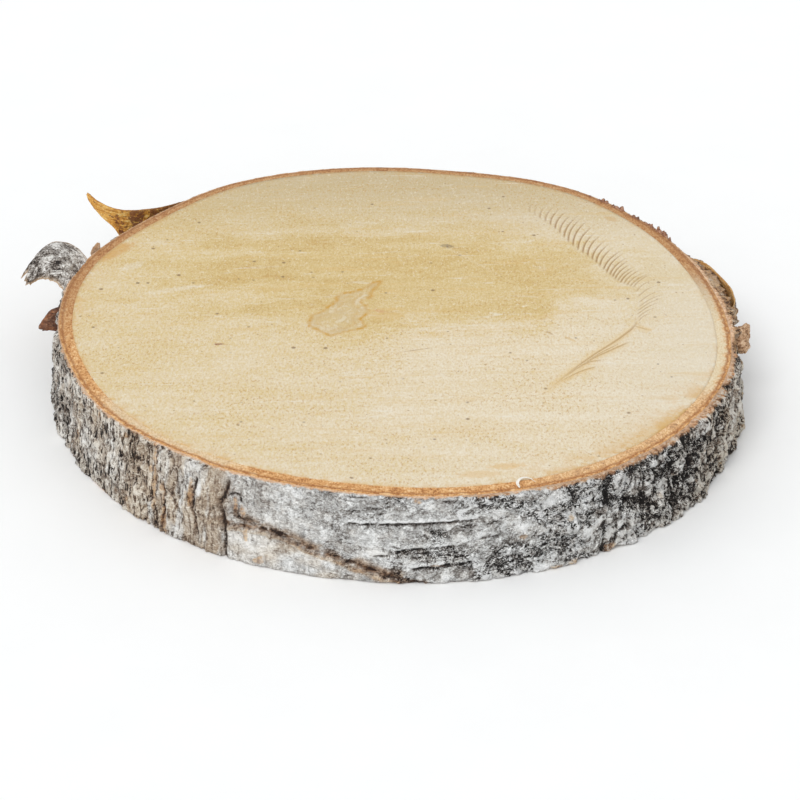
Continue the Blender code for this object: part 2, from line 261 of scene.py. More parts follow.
def buildStudio():
    # the camera of the photograph, one broad sun, an even sky, and a wide level sheet under the slice
    scene = bpy.context.scene
    camera = show(bpy.data.objects.new("camera", bpy.data.cameras.new("camera")))
    camera.location = studio["cameraPlace"]
    camera.rotation_euler = (math.radians(studio["cameraTilt"]), 0.0, 0.0)
    camera.data.lens = studio["lens"]
    camera.data.sensor_width = studio["sensor"]
    scene.camera = camera
    lamp = show(bpy.data.objects.new("sun", bpy.data.lights.new("sun", "SUN")))
    lamp.data.energy = studio["sunStrength"]
    lamp.data.angle = math.radians(studio["sunAngle"])
    lamp.rotation_euler = [math.radians(a) for a in studio["sunTurn"]]
    world = bpy.data.worlds.new("studio")
    world.use_nodes = True
    sky = world.node_tree.nodes["Background"]
    sky.inputs["Color"].default_value = (*studio["skyTint"], 1.0)
    sky.inputs["Strength"].default_value = studio["skyStrength"]
    scene.world = world
    scene.view_settings.view_transform = "Standard"
    side = np.linspace(-0.5, 0.5, 9) * studio["floorSide"] / mm
    x, y = np.meshgrid(side, side)
    points = np.stack([x, y, 0 * x - studio["floorDrop"]], -1).reshape(-1, 3)
    floor = makeMesh("floor", points, netFaces(np.arange(x.size).reshape(x.shape)))
    paper = Finish("floor_paper")
    grain = paper.noise(40.0)
    colour = paper.blend(grain, studio["floorTint"], tuple(part + 4 for part in studio["floorTint"]))
    floor.data.materials.append(paper.finish(colour, 0.9, grain, 0.05))
    print("studio ready")


# Grids and curves

def netFaces(ids):
    # quads between neighbours in a net of point numbers, seen from the side where rows turn left into columns
    return np.stack([ids[:-1, :-1], ids[:-1, 1:], ids[1:, 1:], ids[1:, :-1]], -1).reshape(-1, 4)


def ringFaces(columns, loop):
    # quads of a closed ring whose cross-section is a loop of points
    return netFaces(np.pad(np.arange(columns * loop).reshape(columns, loop), ((0, 1), (0, 1)), mode="wrap").T)


def tubeFaces(rows, sides):
    # faces of a tube of rings, closed by the two points that come after them
    ids = np.pad(np.arange(rows * sides).reshape(rows, sides), ((0, 0), (0, 1)), mode="wrap")
    fans = ((rows * sides, ids[0, :-1], ids[0, 1:]), (rows * sides + 1, ids[-1, 1:], ids[-1, :-1]))
    tris = [np.stack([0 * start + tip, start, end], -1) for tip, start, end in fans]
    return netFaces(ids.T), np.concatenate(tris)


def onCircle(radius, angle, height):
    # points at a radius, an angle and a height
    turn = np.radians(angle) + 0 * radius
    return np.stack([radius * np.cos(turn), radius * np.sin(turn), height + 0 * radius], -1)


def catmull(before, start, end, after, t):
    # from start to end as t goes from 0 to 1, sloping at each by half the step between its neighbours
    bend = 2 * before - 5 * start + 4 * end - after
    twist = 3 * (start - end) + after - before
    return start + 0.5 * t * (end - before + t * (bend + t * twist))


def around(values, angle):
    # smooth closed curve through values set at equal angles
    table = np.asarray(values, float)
    place = np.asarray(angle, float) % 360 / 360 * len(table)
    first = np.floor(place).astype(int)
    return catmull(*(table[(first + step) % len(table)] for step in (-1, 0, 1, 2)), place - first)


def padEnds(table, axis):
    # one more row at each end of a table, as far again as its last step
    first, second, before, last = (np.take(table, [place], axis) for place in (0, 1, -2, -1))
    return np.concatenate([2 * first - second, table, 2 * last - before], axis)


def along(points, place):
    # smooth open curve through points, read at places counted in whole points
    table = np.asarray(points, float)
    first = np.clip(np.floor(place).astype(int), 0, len(table) - 2)
    t = (np.asarray(place, float) - first).reshape((-1,) + (1,) * (table.ndim - 1))
    padded = padEnds(table, 0)
    return catmull(*(padded[first + step] for step in range(4)), t)


def gridCurve(grid, down, over):
    # a smooth surface through a grid of points, read at places counted in whole rows and columns
    table = padEnds(padEnds(grid, 0), 1)
    i = np.clip(np.floor(down).astype(int), 0, grid.shape[0] - 2)
    j = np.clip(np.floor(over).astype(int), 0, grid.shape[1] - 2)
    s, t = (down - i)[..., None], (over - j)[..., None]
    return catmull(*(catmull(*(table[i + a, j + b] for b in range(4)), t) for a in range(4)), s)


def smooth(value):
    # an eased step from 0 to 1
    t = np.clip(value, 0.0, 1.0)
    return t * t * (3 - 2 * t)


def bell(distance, width, power=2):
    # 1 at no distance, falling off like a bell, or with a flatter top at a higher power
    return np.exp(-(distance / width) ** power)


def zone(angle, first, last, soft=5.0):
    # 1 between two angles, falling smoothly to 0 over the soft width outside them
    past = (angle - first + soft) % 360
    return smooth(past / soft) * (1 - smooth((past - (last - first) % 360 - soft) / soft))


def lineDistance(x, y, line):
    # distance to a line of points, whether the spot is left of it, and how far along the nearest part is
    line = np.asarray(line, float)
    lengths = np.hypot(*np.diff(line, axis=0).T)
    best, left, place = np.full(x.shape, 1e6), np.zeros(x.shape), np.zeros(x.shape)
    before = 0.0
    for start, end, length in zip(line[:-1], line[1:], lengths):
        run = (end - start) / length
        t = np.clip((x - start[0]) * run[0] + (y - start[1]) * run[1], 0, length)
        dx, dy = x - start[0] - t * run[0], y - start[1] - t * run[1]
        distance = np.hypot(dx, dy)
        closer = distance < best
        best = np.where(closer, distance, best)
        left = np.where(closer, np.sign(run[0] * dy - run[1] * dx), left)
        place = np.where(closer, (before + t) / lengths.sum(), place)
        before += length
    return best, left, place


# Noise, on the trunk and on flat sheets

trunk = {
    "thickness": 40.0,
    "meanRadius": 158.0,
    "topFrom": 150.0,      # where the noise over the sawn top starts
    "outerRadii": (152.5, 150.5, 153.8, 158.5, 156.5, 160.0, 163.0, 159.0, 160.0,
                   157.5, 155.0, 155.0, 154.5, 156.0, 160.5, 164.0, 162.5, 158.5),
    "baseFlare": (3.0, 2.0, 2.0, 2.0, 2.0, 3.0, 4.0, 2.5, 4.5, 2.5, -1.5, 0.0),
    "barkWidths": (10.0, 6.5, 5.5, 6.0, 7.5, 8.0, 10.5, 12.0),
    "orangeWidths": (6.2, 5.0, 4.4, 4.8, 6.0, 5.6, 6.4, 6.4),    # the inner bark's part of the widths above
}
thick = trunk["thickness"]
girth = 2 * math.pi * trunk["meanRadius"]


def arcOf(angle):
    # how far round the trunk an angle lies
    return np.radians(angle) * trunk["meanRadius"]


def lattice(table, row, column):
    # value noise: the numbers of a table that repeats, each at a whole place, eased from one to the next
    i, j = np.floor(row).astype(int), np.floor(column).astype(int)
    y, x = smooth(row - i), smooth(column - j)
    rows, columns = table.shape
    low, high, left, right = i % rows, (i + 1) % rows, j % columns, (j + 1) % columns
    bottom = table[low, left] * (1 - x) + table[low, right] * x
    top = table[high, left] * (1 - x) + table[high, right] * x
    return bottom * (1 - y) + top * y


def trunkNoise(arc, height, cellArc, cellHeight, seed):
    # value noise that closes round the trunk
    wrap = max(4, round(girth / cellArc))
    table = np.random.default_rng(seed).uniform(-1, 1, (64, wrap))
    return lattice(table, height / cellHeight, arc / girth * wrap)


def trunkLayers(arc, height, cellArc, cellHeight, seed, layers=4, fade=0.55):
    # noise in layers, each half as large and a little weaker than the one before
    shares = fade ** np.arange(layers)
    parts = [share * trunkNoise(arc, height, cellArc / 2 ** n, cellHeight / 2 ** n, seed + n)
             for n, share in enumerate(shares)]
    return sum(parts) / shares.sum() * 1.6


def edgeNoise(arc, cell, seed, layers=4, fade=0.55):
    # layered noise along a line round the trunk
    return trunkLayers(arc, 0 * arc, cell, 20, seed, layers, fade)


def sheetNoise(u, v, cellU, cellV, seed, layers=3):
    # layered value noise on a flat sheet
    total, weight = 0, 0
    for layer in range(layers):
        table = np.random.default_rng(seed + layer).uniform(-1, 1, (64, 64))
        total = total + 0.6 ** layer * lattice(table, u / cellU * 2 ** layer, v / cellV * 2 ** layer)
        weight += 0.6 ** layer
    return total / weight * 1.5


def trunkCells(arc, height, columns, rowPitch, squash, shake, seed):
    # shaken points on a grid round the trunk: how much further the second is than the first, the first's own
    # number, and how far along and above it each spot lies
    far = 1e6
    draw = np.random.default_rng(seed)
    rows = int(thick / rowPitch) + 3
    pitch = girth / columns
    shift = draw.uniform(-shake, shake, (2, rows, columns))
    numbers = draw.uniform(-1, 1, (rows, columns))
    column = np.floor(arc / pitch).astype(int)
    row = np.floor(height / rowPitch).astype(int) + 1
    near, second = np.full(arc.shape, far), np.full(arc.shape, far)
    found = {key: np.zeros(arc.shape) for key in ("number", "side", "rise")}
    for stepUp in range(-2, 3):
        for stepOn in range(-2, 3):
            c = (column + stepOn) % columns
            r = np.clip(row + stepUp, 0, rows - 1)
            over = arc - (column + stepOn + shift[0, r, c]) * pitch
            above = height - (r - 1 + 0.5 * (c % 2) + shift[1, r, c]) * rowPitch
            distance = np.where(r == row + stepUp, np.hypot(over, above * squash), far)
            closer = distance < near
            second = np.where(closer, near, np.minimum(second, distance))
            near = np.where(closer, distance, near)
            here = {"number": numbers[r, c], "side": over, "rise": above}
            found = {key: np.where(closer, here[key], found[key]) for key in found}
    return {"edge": second - near, **found}


def woodRadius(angle, height):
    # the trunk's radius less its bark's width, a little wider towards the base
    taper = around(trunk["baseFlare"], angle) * (1 - height / thick)
    return around(trunk["outerRadii"], angle) - around(trunk["barkWidths"], angle) + taper


def orangeEdge(angle, height):
    # where the orange inner bark ends and the cork begins, more ragged at the front left
    ragged = 0.25 + 0.9 * zone(angle, 208, 238, 8) + 0.5 * zone(angle, 296, 335, 10)
    wave = trunkLayers(arcOf(angle % 360), height * 0 + 3.0, 14, 30, 401) * ragged
    return woodRadius(angle, height) + around(trunk["orangeWidths"], angle) + wave


# Bark

bark = {
    "columns": 1500,
    "outerRows": 53,
    "topPoints": 9,
    "inset": 0.45,
    # every 20 degrees from +X
    "fissures": (2.8, 2.0, 1.6, 1.6, 1.8, 1.8, 2.0, 2.0, 2.2, 2.4, 2.2, 1.6, 0.7, 0.35, 0.8, 1.9, 2.8, 3.2),
    "lifts": (1.6, 1.2, 0.8, 0.8, 0.8, 0.8, 0.8, 0.9, 1.0, 1.1, 0.8, 0.6, 0.4, 0.3, 0.5, 0.9, 1.4, 1.8),
    "slits": (0.7, 0.5, 0.6, 0.7, 0.6, 0.5, 0.6, 0.7, 1.1, 1.7, 1.5, 0.9, 0.35, 0.1, 0.1, 0.35, 0.9, 1.0),
    "crinkles": (1.0, 0.8, 0.6, 0.5, 0.5, 0.5, 0.5, 0.6, 0.6, 0.6, 0.55, 0.5, 0.3, 0.4, 0.75, 1.0, 1.0, 1.0),
    "shades": (0.70, 0.62, 0.58, 0.58, 0.62, 0.64, 0.64, 0.64, 0.64,
               0.64, 0.75, 0.94, 0.79, 0.80, 0.76, 0.86, 0.83, 0.76),
    "warmths": (0.75, 0.5, 0.4, 0.3, 0.25, 0.25, 0.25, 0.3, 0.3,
                0.4, 0.52, 0.6, 0.25, 0.05, 0.06, 0.14, 0.45, 0.8),
    "blacks": (0.8, 0.7, 0.5, 0.4, 0.35, 0.3, 0.3, 0.4, 0.5,
               0.55, 0.45, 0.35, 0.2, 0.35, 0.75, 0.95, 1.0, 0.95),
    "cuts": (1.6, 0.7, 0.7, 0.7, 0.8, 0.9, 1.1, 3.4),      # width of the pale sawn cork, every 45 degrees
}
# the size of the lumps round and up the trunk, the seed, how many layers, and how fast the layers fade, where
# the last two are 4 and 0.55 if they are left out
barkNoise = {
    "broken": (13, 10, 41), "swayArc": (9, 9, 21, 5, 0.62), "swayUp": (9, 9, 31, 5, 0.62),
    "slitSway": (4, 7, 51, 3), "slitPart": (5, 6, 58, 2), "curlArc": (4, 4, 61, 3), "curlUp": (4, 4, 65, 3),
    "wrinkles": (16, 1.3, 81, 2), "cloud": (12, 9, 91), "mottle": (3.0, 2.4, 95, 3),
    "blotch": (6.5, 4.2, 111, 4, 0.68), "warm": (9, 16, 131), "tan": (4.5, 18, 141, 3),
    "ragged": (2.4, 2.4, 151, 3), "rust": (3.4, 6.0, 155, 3), "furrowSway": (6, 9, 71, 3),
    "furrowPart": (7, 8, 78, 2), "wobble": (5, 4, 161, 4, 0.6), "smudge": (3, 2.4, 183, 3),
    "fibre": (1.8, 1.3, 181, 2), "scarUpper": (6, 3, 185, 2), "scarRust": (3, 2, 187, 2),
    "cream": (8, 6, 191, 2), "torn": (2.2, 4.5, 195, 3), "tornRust": (2.4, 5, 197, 3),
}
# the same, for the noises that are read at swayed places
swayedNoise = {
    "standing": (3.0, 12, 55, 3, 0.6), "furrow": (8.5, 36, 75, 3, 0.5), "wide": (5.2, 3.6, 101, 4, 0.62),
    "narrow": (2.5, 2.0, 105, 2, 0.6), "flakes": (4.4, 3.4, 121, 3, 0.6),
}
# how many round the trunk, pitch of the rows, how flat, how far they are shaken, and seed
barkCells = {"plates": (84, 14.0, 0.6, 0.38, 11), "pores": (62, 4.6, 3.4, 0.46, 14)}
# depth, width, and a line of angle and height
longCracks = (
    (2.0, 0.9, ((242.2, 36), (240.9, 23.8), (241.6, 12.5), (241.9, -2))),
    (1.6, 0.8, ((222.4, 42), (222.0, 32), (222.3, 22))),
    (2.4, 1.2, ((303.4, 42), (302.2, 33), (302.4, 25))),
    (2.6, 1.4, ((302.0, 17.4), (302.6, 8), (302.3, -2))),
    (2.8, 1.3, ((316.3, 42), (315.8, 32), (316.2, 23))),
    (2.8, 1.4, ((320.4, 42), (321.2, 30), (320.8, 18))),
    (2.6, 1.3, ((336.4, 42), (335.4, 22))),
    (1.0, 0.7, ((229.2, 24), (229.8, 12), (229.4, 1))),
    (1.2, 0.7, ((236.0, 34), (235.4, 20), (236.4, 6))),
    (1.6, 0.9, ((310.2, 36), (309.4, 22), (310.6, 9))),
    (0.8, 0.5, ((242.4, 30), (243.4, 31.6), (244.4, 31), (244.6, 27.5))),
)
ledges = (
    (0.6, 0.6, ((261.0, 26.4), (266.0, 27.6), (271.0, 28.4), (276.0, 29.3), (281.6, 29.9))),
    (0.6, 0.5, ((269.0, 15.6), (274.4, 16.8), (279.0, 17.4))),
    (0.6, 0.75, ((271.4, 6.7), (274.4, 7.8), (277.4, 8.6), (281.0, 9.2))),
    (0.6, 0.4, ((265.8, 12.6), (268.2, 12.9))),
)
scar = (1.0, 1.25, ((241.4, 16.2), (244.2, 17.4), (247.7, 17.8), (252.0, 16.6), (255.1, 13.9), (257.5, 12.1),
                    (260.7, 9.5), (263.8, 7.1), (267.6, 3.6), (269.9, 2.0), (273.2, 0.0)))
smudge = (0.42, 2.6, ((241.6, 24.5), (243.6, 21.5), (247.5, 19.6), (253.0, 17.0)))      # above the scar
# round patches: angle, height, reach along and up, for white flakes and for rusty spots
whitePatches = (
    (303.8, 10.5, 6, 3.2), (306.6, 5.0, 7, 3.4), (308.8, 1.0, 6, 2.5), (324.4, 10.0, 5, 3.2),
    (283.7, 1.0, 6, 1.6), (290.8, 1.2, 6, 1.6), (340.5, 22.0, 4, 6.0), (327.5, 5.0, 4, 3.0),
    (334.0, 12.0, 3, 5.0), (314.0, 20.0, 4, 3.0),
)
rustPatches = (
    (227.4, 22.0, 1.6, 12.0), (235.0, 24.0, 1.2, 9.0), (229.8, 8.0, 1.8, 7.0), (226.3, 27.6, 2.0, 1.6),
    (229.1, 21.6, 2.0, 1.6), (219.7, 35.7, 1.6, 1.6), (243.4, 26.5, 1.1, 4.0), (244.6, 22.5, 1.3, 3.0),
    (245.3, 12.5, 0.9, 4.0), (247.8, 3.0, 3.0, 1.6), (303.4, 1.0, 3.0, 3.0), (297.2, 1.0, 4.0, 1.4),
    (293.9, 0.8, 3.0, 1.2), (272.5, 39.5, 2.2, 1.8), (203.0, 15.0, 1.6, 2.0), (275.5, 8.4, 3.4, 0.5),
    (227.6, 34.0, 1.2, 6.0), (288.6, 19.0, 2.2, 1.2), (296.0, 24.0, 1.4, 1.4),
)


def toTrunkLine(arc, height, line):
    # lineDistance to a line of (angle, height)
    return lineDistance(arc, height, [(arcOf(angle), up) for angle, up in line])


def creases(noise, width):
    # 1 along the thin lines where a noise crosses 0
    return 1 - smooth(np.abs(noise) / width)


def patches(arc, height, spots, ragged):
    # 1 inside ragged round patches
    total = np.zeros(arc.shape)
    for angle, up, reach, high in spots:
        far = np.hypot((arc - arcOf(angle)) / reach, (height - up) / high)
        total = np.maximum(total, 1 - smooth((far + ragged - 0.75) / 0.3))
    return total


def barkRelief(angle, height):
    # the radius at each angle and height, and the masks that colour it
    angle = angle % 360
    arc = arcOf(angle)
    tables = ("fissures", "lifts", "slits", "crinkles", "shades", "warmths", "blacks")
    level = {key: around(bark[key], angle) for key in tables}
    noise = {key: trunkLayers(arc, height, *numbers) for key, numbers in barkNoise.items()}
    broken = smooth(noise["broken"] * 1.6 + 0.55)       # where cracks and curls are dense

    # plates with jagged borders, as in the model
    plateArc, plateUp = (arc + 2.6 * noise["swayArc"]) % girth, height + 2.6 * noise["swayUp"]
    plates = trunkCells(plateArc, plateUp, *barkCells["plates"])
    plate = smooth(plates["edge"] / 4.0)
    fissure = level["fissures"] * (1 - plate) * (0.45 + 0.55 * broken)
    relief = level["lifts"] * plates["number"] * plate - fissure
    crack = (1 - smooth(plates["edge"] / 1.1)) * smooth(level["fissures"] / 2.6 - 0.2) * broken

    # long upright slits, and curled wrinkles in two sizes
    standing = trunkLayers(arc + 1.2 * noise["slitSway"], height, *swayedNoise["standing"])
    slit = creases(standing, 0.15) * smooth(1.2 * noise["slitPart"] + 0.65)
    relief -= 1.25 * level["slits"] * slit - 0.5 * level["slits"] * np.abs(standing)
    crack = np.maximum(crack, 0.95 * slit * smooth(level["slits"] * 1.3 - 0.2))
    curlArc, curlUp = (arc + 1.5 * noise["curlArc"]) % girth, height + 1.5 * noise["curlUp"]
    curled = (swayedNoise[key] for key in ("wide", "narrow", "flakes"))
    wide, narrow, flakes = (trunkLayers(curlArc, curlUp, *numbers) for numbers in curled)
    curl = np.maximum(creases(wide, 0.11) * broken, 0.8 * creases(narrow, 0.16) * smooth(2 * broken - 0.6))
    relief += level["crinkles"] * (0.9 * np.abs(wide) + 0.35 * np.abs(narrow) - 0.55 * curl)
    relief += 0.12 * noise["wrinkles"]

    shade = level["shades"] + 0.10 * noise["cloud"]
    shade += 0.15 * plates["number"] * smooth(level["fissures"] - 0.5)
    shade += level["crinkles"] * (0.14 * noise["mottle"] + 0.16 * (np.abs(wide) - 0.3))
    shade -= level["blacks"] * (0.50 * curl + 0.16 * smooth((noise["blotch"] - 0.18) / 0.25))
    flakes = smooth((flakes - 0.26) / 0.12) * level["crinkles"]
    shade += (0.40 + 0.25 * zone(angle, 308, 10, 15)) * flakes
    relief += 0.35 * flakes

    tanHere = zone(angle, 221, 240, 4) * smooth(noise["tan"] * 1.4 + 0.75)
    warm = np.maximum(level["warmths"] * (1 + 0.5 * noise["warm"]), 0.9 * tanHere)
    shade -= 0.10 * tanHere
    ragged = 0.45 * noise["ragged"]
    rust = 0.8 * patches(arc, height, rustPatches, ragged)
    rust = np.maximum(rust, smooth((noise["rust"] - 0.85) / 0.12) * level["warmths"])
    white = patches(arc, height, whitePatches, 2.4 * ragged)
    shade += 0.55 * white
    relief += 0.5 * white

    # deep upright furrows at the right
    furrow = creases(trunkLayers(arc + 1.8 * noise["furrowSway"], height, *swayedNoise["furrow"]), 0.16)
    furrow = furrow * zone(angle, 308, 352, 10) * smooth(1.1 + noise["furrowPart"])
    relief -= 2.3 * furrow
    crack = np.maximum(crack, 0.95 * furrow)

    # small level pores, longer than they are high
    pores = trunkCells(arc, height, *barkCells["pores"])
    share = 0.06 + 0.22 * zone(angle, 262, 284, 6) + 0.4 * zone(angle, 60, 170, 12)
    pore = bell(pores["side"], 1.2 + 3.2 * np.abs(pores["number"]), 4) * bell(pores["rise"], 0.32)
    pore = pore * (pores["number"] < 2 * share - 1)
    relief -= 0.35 * pore
    crack = np.maximum(crack, 0.8 * pore)

    # long cracks, and ledges with a pale lip above and a shadow below
    wobble = 0.9 * noise["wobble"]
    for depth, width, line in longCracks:
        d, _, place = toTrunkLine(arc + wobble, height, line)
        taper = smooth(np.minimum(place, 1 - place) * 8 + 0.3)
        taper = taper * (0.75 + 0.35 * trunkNoise(arc, height, 2.5, 3.5, 165))
        relief += 0.4 * bell(d - 3.0 * width, width) - depth * bell(d, 1.3 * width) * taper
        crack = np.maximum(crack, bell(d, width, 4) * taper)
    for depth, width, line in ledges:
        d, above, place = toTrunkLine(arc, height + 0.25 * wobble, line)
        ends = smooth(np.minimum(place, 1 - place) * 12 + 0.1)
        taper = ends * np.clip(0.85 + 0.5 * trunkNoise(arc, height, 3.6, 9, 171), 0, 1)
        lip = (above > 0) * bell(d - 1.25, 0.7) * ends
        relief += 0.35 * lip - depth * bell(d, width) * taper
        shade += 0.45 * lip - 0.12 * (above < 0) * bell(d - 1.6, 1.6) * taper
        crack = np.maximum(crack, bell(d, width) * taper)

    # the stain, and the scar with a raised lower lip and cream bark below it
    depth, width, line = smudge
    d, _, place = toTrunkLine(arc + wobble, height, line)
    dark = bell(d, width * (1.15 - 0.6 * place)) * smooth(0.7 + noise["smudge"])
    shade -= depth * dark
    warm = np.maximum(warm, 0.8 * dark)
    depth, width, line = scar
    d, above, place = toTrunkLine(arc, height + wobble, line)
    core = bell(d, width) * (0.65 + 0.5 * noise["fibre"])
    below = (above < 0) * bell(d - 2.0, 1.1)
    upper = (above > 0) * bell(d - 1.4, 2.2) * smooth(0.75 + noise["scarUpper"])
    relief += 0.7 * below - depth * core
    shade -= 0.52 * core + 0.26 * upper + 0.08 * below
    for mask, strength in ((core, 0.9), (upper, 0.8), (below, 0.9)):
        warm = np.maximum(warm, strength * mask)
    rust = np.maximum(rust, 0.65 * below * smooth(0.8 + noise["scarRust"]) * smooth((place - 0.25) * 5))
    rust = np.maximum(rust, 0.55 * core + 0.3 * upper)
    cream = zone(angle, 242, 262, 3) * (above < 0) * smooth((d - 2) / 2) * smooth((17 - height) / 4)
    warm = np.maximum(warm, cream * (0.35 + 0.35 * noise["cream"]))
    shade += 0.06 * cream

    # torn brown fibres fill the space behind the golden curl at the right, and run on to the knob
    torn = zone(angle, 6, 21, 7) * smooth((height - 20) / 12)
    relief += 4.2 * torn * (0.8 + 0.35 * noise["torn"])
    torn = np.maximum(torn, zone(angle, 352, 24, 5) * smooth((height - 31) / 4))
    warm = np.maximum(warm, torn)
    rust = np.maximum(rust, 0.95 * torn * smooth(1.1 + noise["tornRust"]))
    shade += (0.66 - shade) * 0.75 * torn
    crack = crack * (1 - 0.6 * torn)

    taper = around(trunk["baseFlare"], angle) * (1 - height / thick)
    radius = around(trunk["outerRadii"], angle) + taper + relief - bark["inset"] - 0.25 * level["crinkles"]
    masks = {"warm": warm, "rust": rust, "upright": level["slits"]}
    masks = {key: np.clip(values, 0, 1) for key, values in masks.items()}
    # the bark goes nearly black in its cracks, slits, furrows and pores: partly their own dark colour, partly
    # painted shade in the recesses
    masks["shade"] = shade * (1 - np.clip(crack, 0, 1))
    masks["black"] = level["blacks"] * (0.45 + 0.55 * broken) * (1 - 0.9 * torn)
    return np.maximum(radius, orangeEdge(angle, height) + 0.5), masks


def buildBark(material):
    # each column is one cross-section: out along the base, up the rough outside and in over the cork
    edge = np.arange(bark["columns"])[:, None] * 360 / bark["columns"]
    arc = arcOf(edge)
    rough = around(bark["crinkles"], edge)
    topEdge = thick - 0.9 - (0.4 + 1.1 * rough) * np.abs(edgeNoise(arc, 4.5, 201, 5, 0.65))
    lowEdge = 0.1 + (0.3 + 0.8 * rough) * np.abs(edgeNoise(arc, 4.0, 211, 5, 0.65))
    height = lowEdge + (topEdge - lowEdge) * np.linspace(0, 1, bark["outerRows"])
    angle = edge + 0 * height
    radius, masks = barkRelief(angle, height)

    # over the top: a worn shoulder of bark, then the pale sawn cork next to the orange ring
    inner, outer = orangeEdge(edge, thick), radius[:, -1:]
    across = np.linspace(0, 1, bark["topPoints"] + 1)[1:] ** 0.9
    cutRadius = outer + (inner - 0.5 - outer) * across
    cutAngle = edge + 0 * across
    cutArc, fromTop = arcOf(cutAngle), cutRadius - trunk["topFrom"]
    reach, fromOrange = np.maximum(outer - cutRadius, 0), cutRadius - inner
    cutWidth = around(bark["cuts"], cutAngle) * (1 + 0.5 * edgeNoise(arc, 7, 215))
    shoulder = smooth((fromOrange - cutWidth) / np.maximum(outer - inner - cutWidth, 0.8))
    cutHeight = thick - 0.25 + (topEdge - thick + 0.25) * shoulder
    cutHeight -= 0.3 * np.abs(trunkLayers(cutArc, fromTop, 1.8, 1.4, 221, 3)) * smooth(reach)
    cutMasks = barkRelief(cutAngle, topEdge + reach)[1]
    sawn = 1 - smooth((fromOrange - cutWidth + 0.5 * trunkLayers(cutArc, fromTop, 2.4, 1.6, 225, 2)) / 0.5)
    lines = creases(trunkLayers(cutArc * 0.35, fromTop, 3.0, 0.9, 231, 2), 0.2)
    pink = np.clip(bell(fromOrange - 0.4, 0.9) + 0.7 * lines, 0, 1)

    def column(base, side, top):
        # the three stretches of every column, one after the other
        return np.concatenate([base + 0 * edge, side + 0 * angle, top + 0 * cutAngle], 1)

    wholeRadius = column(orangeEdge(edge, 0.0) - 0.5, radius, cutRadius)
    points = onCircle(wholeRadius, edge, column(0.2, height, cutHeight))
    whole = {key: column(0.5, masks[key], cutMasks[key]) for key in masks}
    whole.update(sawn=column(1, 0, sawn), pink=column(0, 0, pink))
    faces = ringFaces(bark["columns"], points.shape[1])
    return addPiece("bark_outer", points, faces, (), whole, material, "bark", "bark")


greyStops = ((0.0, (16, 13, 12)), (0.12, (44, 38, 34)), (0.28, (92, 86, 81)), (0.46, (140, 137, 133)),
             (0.64, (184, 183, 181)), (0.82, (220, 220, 218)), (1.0, (246, 246, 245)))
tanStops = ((0.0, (34, 23, 16)), (0.18, (80, 60, 46)), (0.40, (136, 114, 94)), (0.60, (174, 154, 132)),
            (0.82, (208, 194, 174)), (1.0, (230, 220, 204)))
rustStops = ((0.0, (58, 32, 16)), (0.35, (122, 80, 44)), (0.65, (176, 130, 82)), (1.0, (214, 180, 132)))
corkStops = ((0.0, (104, 66, 42)), (0.3, (170, 114, 74)), (0.55, (212, 158, 112)), (0.8, (232, 190, 148)),
             (1.0, (238, 222, 204)))
corkPale = (236, 200, 166)


def barkMaterial():
    # the masks choose a place on grey, tan, rust and cork ramps, broken up by crisp curls, slits and grit
    look = Finish("birch_bark")
    black, shade = look.mask("black"), look.mask("shade")
    scales = look.noise((3.4, 3.4, 2.5), 3.5, 0.62, warp=1.0).step(0.46, 0.54)
    fine = look.noise((1.3, 1.3, 0.9), 3, 0.6, warp=0.5).step(0.42, 0.58)
    patch = look.noise((7, 7, 5), 4, 0.6, warp=0.4)
    wide = look.noise((7.5, 7.5, 5.5), 1.5, 0.5, warp=2.2)
    narrow = look.noise((4.0, 4.0, 2.9), 1.5, 0.5, warp=1.8)
    small = look.noise((2.2, 2.2, 1.6), 2, 0.5, warp=1.2).crease(0.02, 0.08)
    line = wide.crease(0.010, 0.034).most(narrow.crease(0.014, 0.05)).most(small * patch.step(0.44, 0.56))
    line = line * (black * patch.step(0.3, 0.5, 0.5, 1.0))
    lit = (wide - 0.05).crease(0.008, 0.03).most((narrow - 0.07).crease(0.012, 0.045))
    lit = lit * black.step(0.2, 0.8, 0.1, 1.0)
    hair = look.noise((3.0, 3.0, 0.6), 3, 0.6, warp=0.5).step(0.35, 0.39, 1.0, 0.0)
    slit = look.noise((1.6, 1.6, 6.0), 3, 0.6, warp=0.5).step(0.41, 0.455, 1.0, 0.0) * look.mask("upright")
    value = shade + patch.spread(0.22) + scales.spread(black.step(0.1, 1.0, 0.08, 0.33))
    value = value + fine.spread(black.step(0.1, 1.0, 0.17, 0.28)) - hair * 0.27
    value = value + lit * 0.34 - line * 0.68 - slit * 0.7
    value = (value + (value - 0.55) * black.step(0.4, 0.9, 0.0, 0.55)).held()      # harder where it is black
    warm = (look.mask("warm") + patch.spread(0.9)).held()
    rust = look.mask("rust") * fine.step(0.0, 1.0, 0.45, 0.95)
    cork = look.ramp((shade * 0.6 + fine * 0.45).held(), corkStops)
    cork = look.blend(look.mask("pink") * 0.7, cork, corkPale)
    colour = look.cover(look.ramp(value, greyStops), (warm, look.ramp(value, tanStops)),
                        (rust, look.ramp(value, rustStops)), (look.mask("sawn"), cork))
    bump = scales * black.step(0.1, 0.9, 0.15, 1.0) + fine * 0.35 + lit * 0.5 - line * 1.1 - slit * 1.4
    return look.finish(colour, 0.88, bump, 0.5, 0.9)


# Inner bark

innerBark = {
    "columns": 1200, "topPoints": 10, "top": 39.88, "base": 0.12, "overlap": 0.6,
    "colours": ((0.0, (152, 94, 48)), (0.3, (200, 142, 84)), (0.65, (220, 166, 106)), (1.0, (240, 204, 154))),
    "pale": ((0.3, (212, 184, 138)), (0.5, (227, 210, 175)), (0.7, (236, 225, 202))),
    "line": (150, 92, 48),
    "back": (150, 106, 72),
}


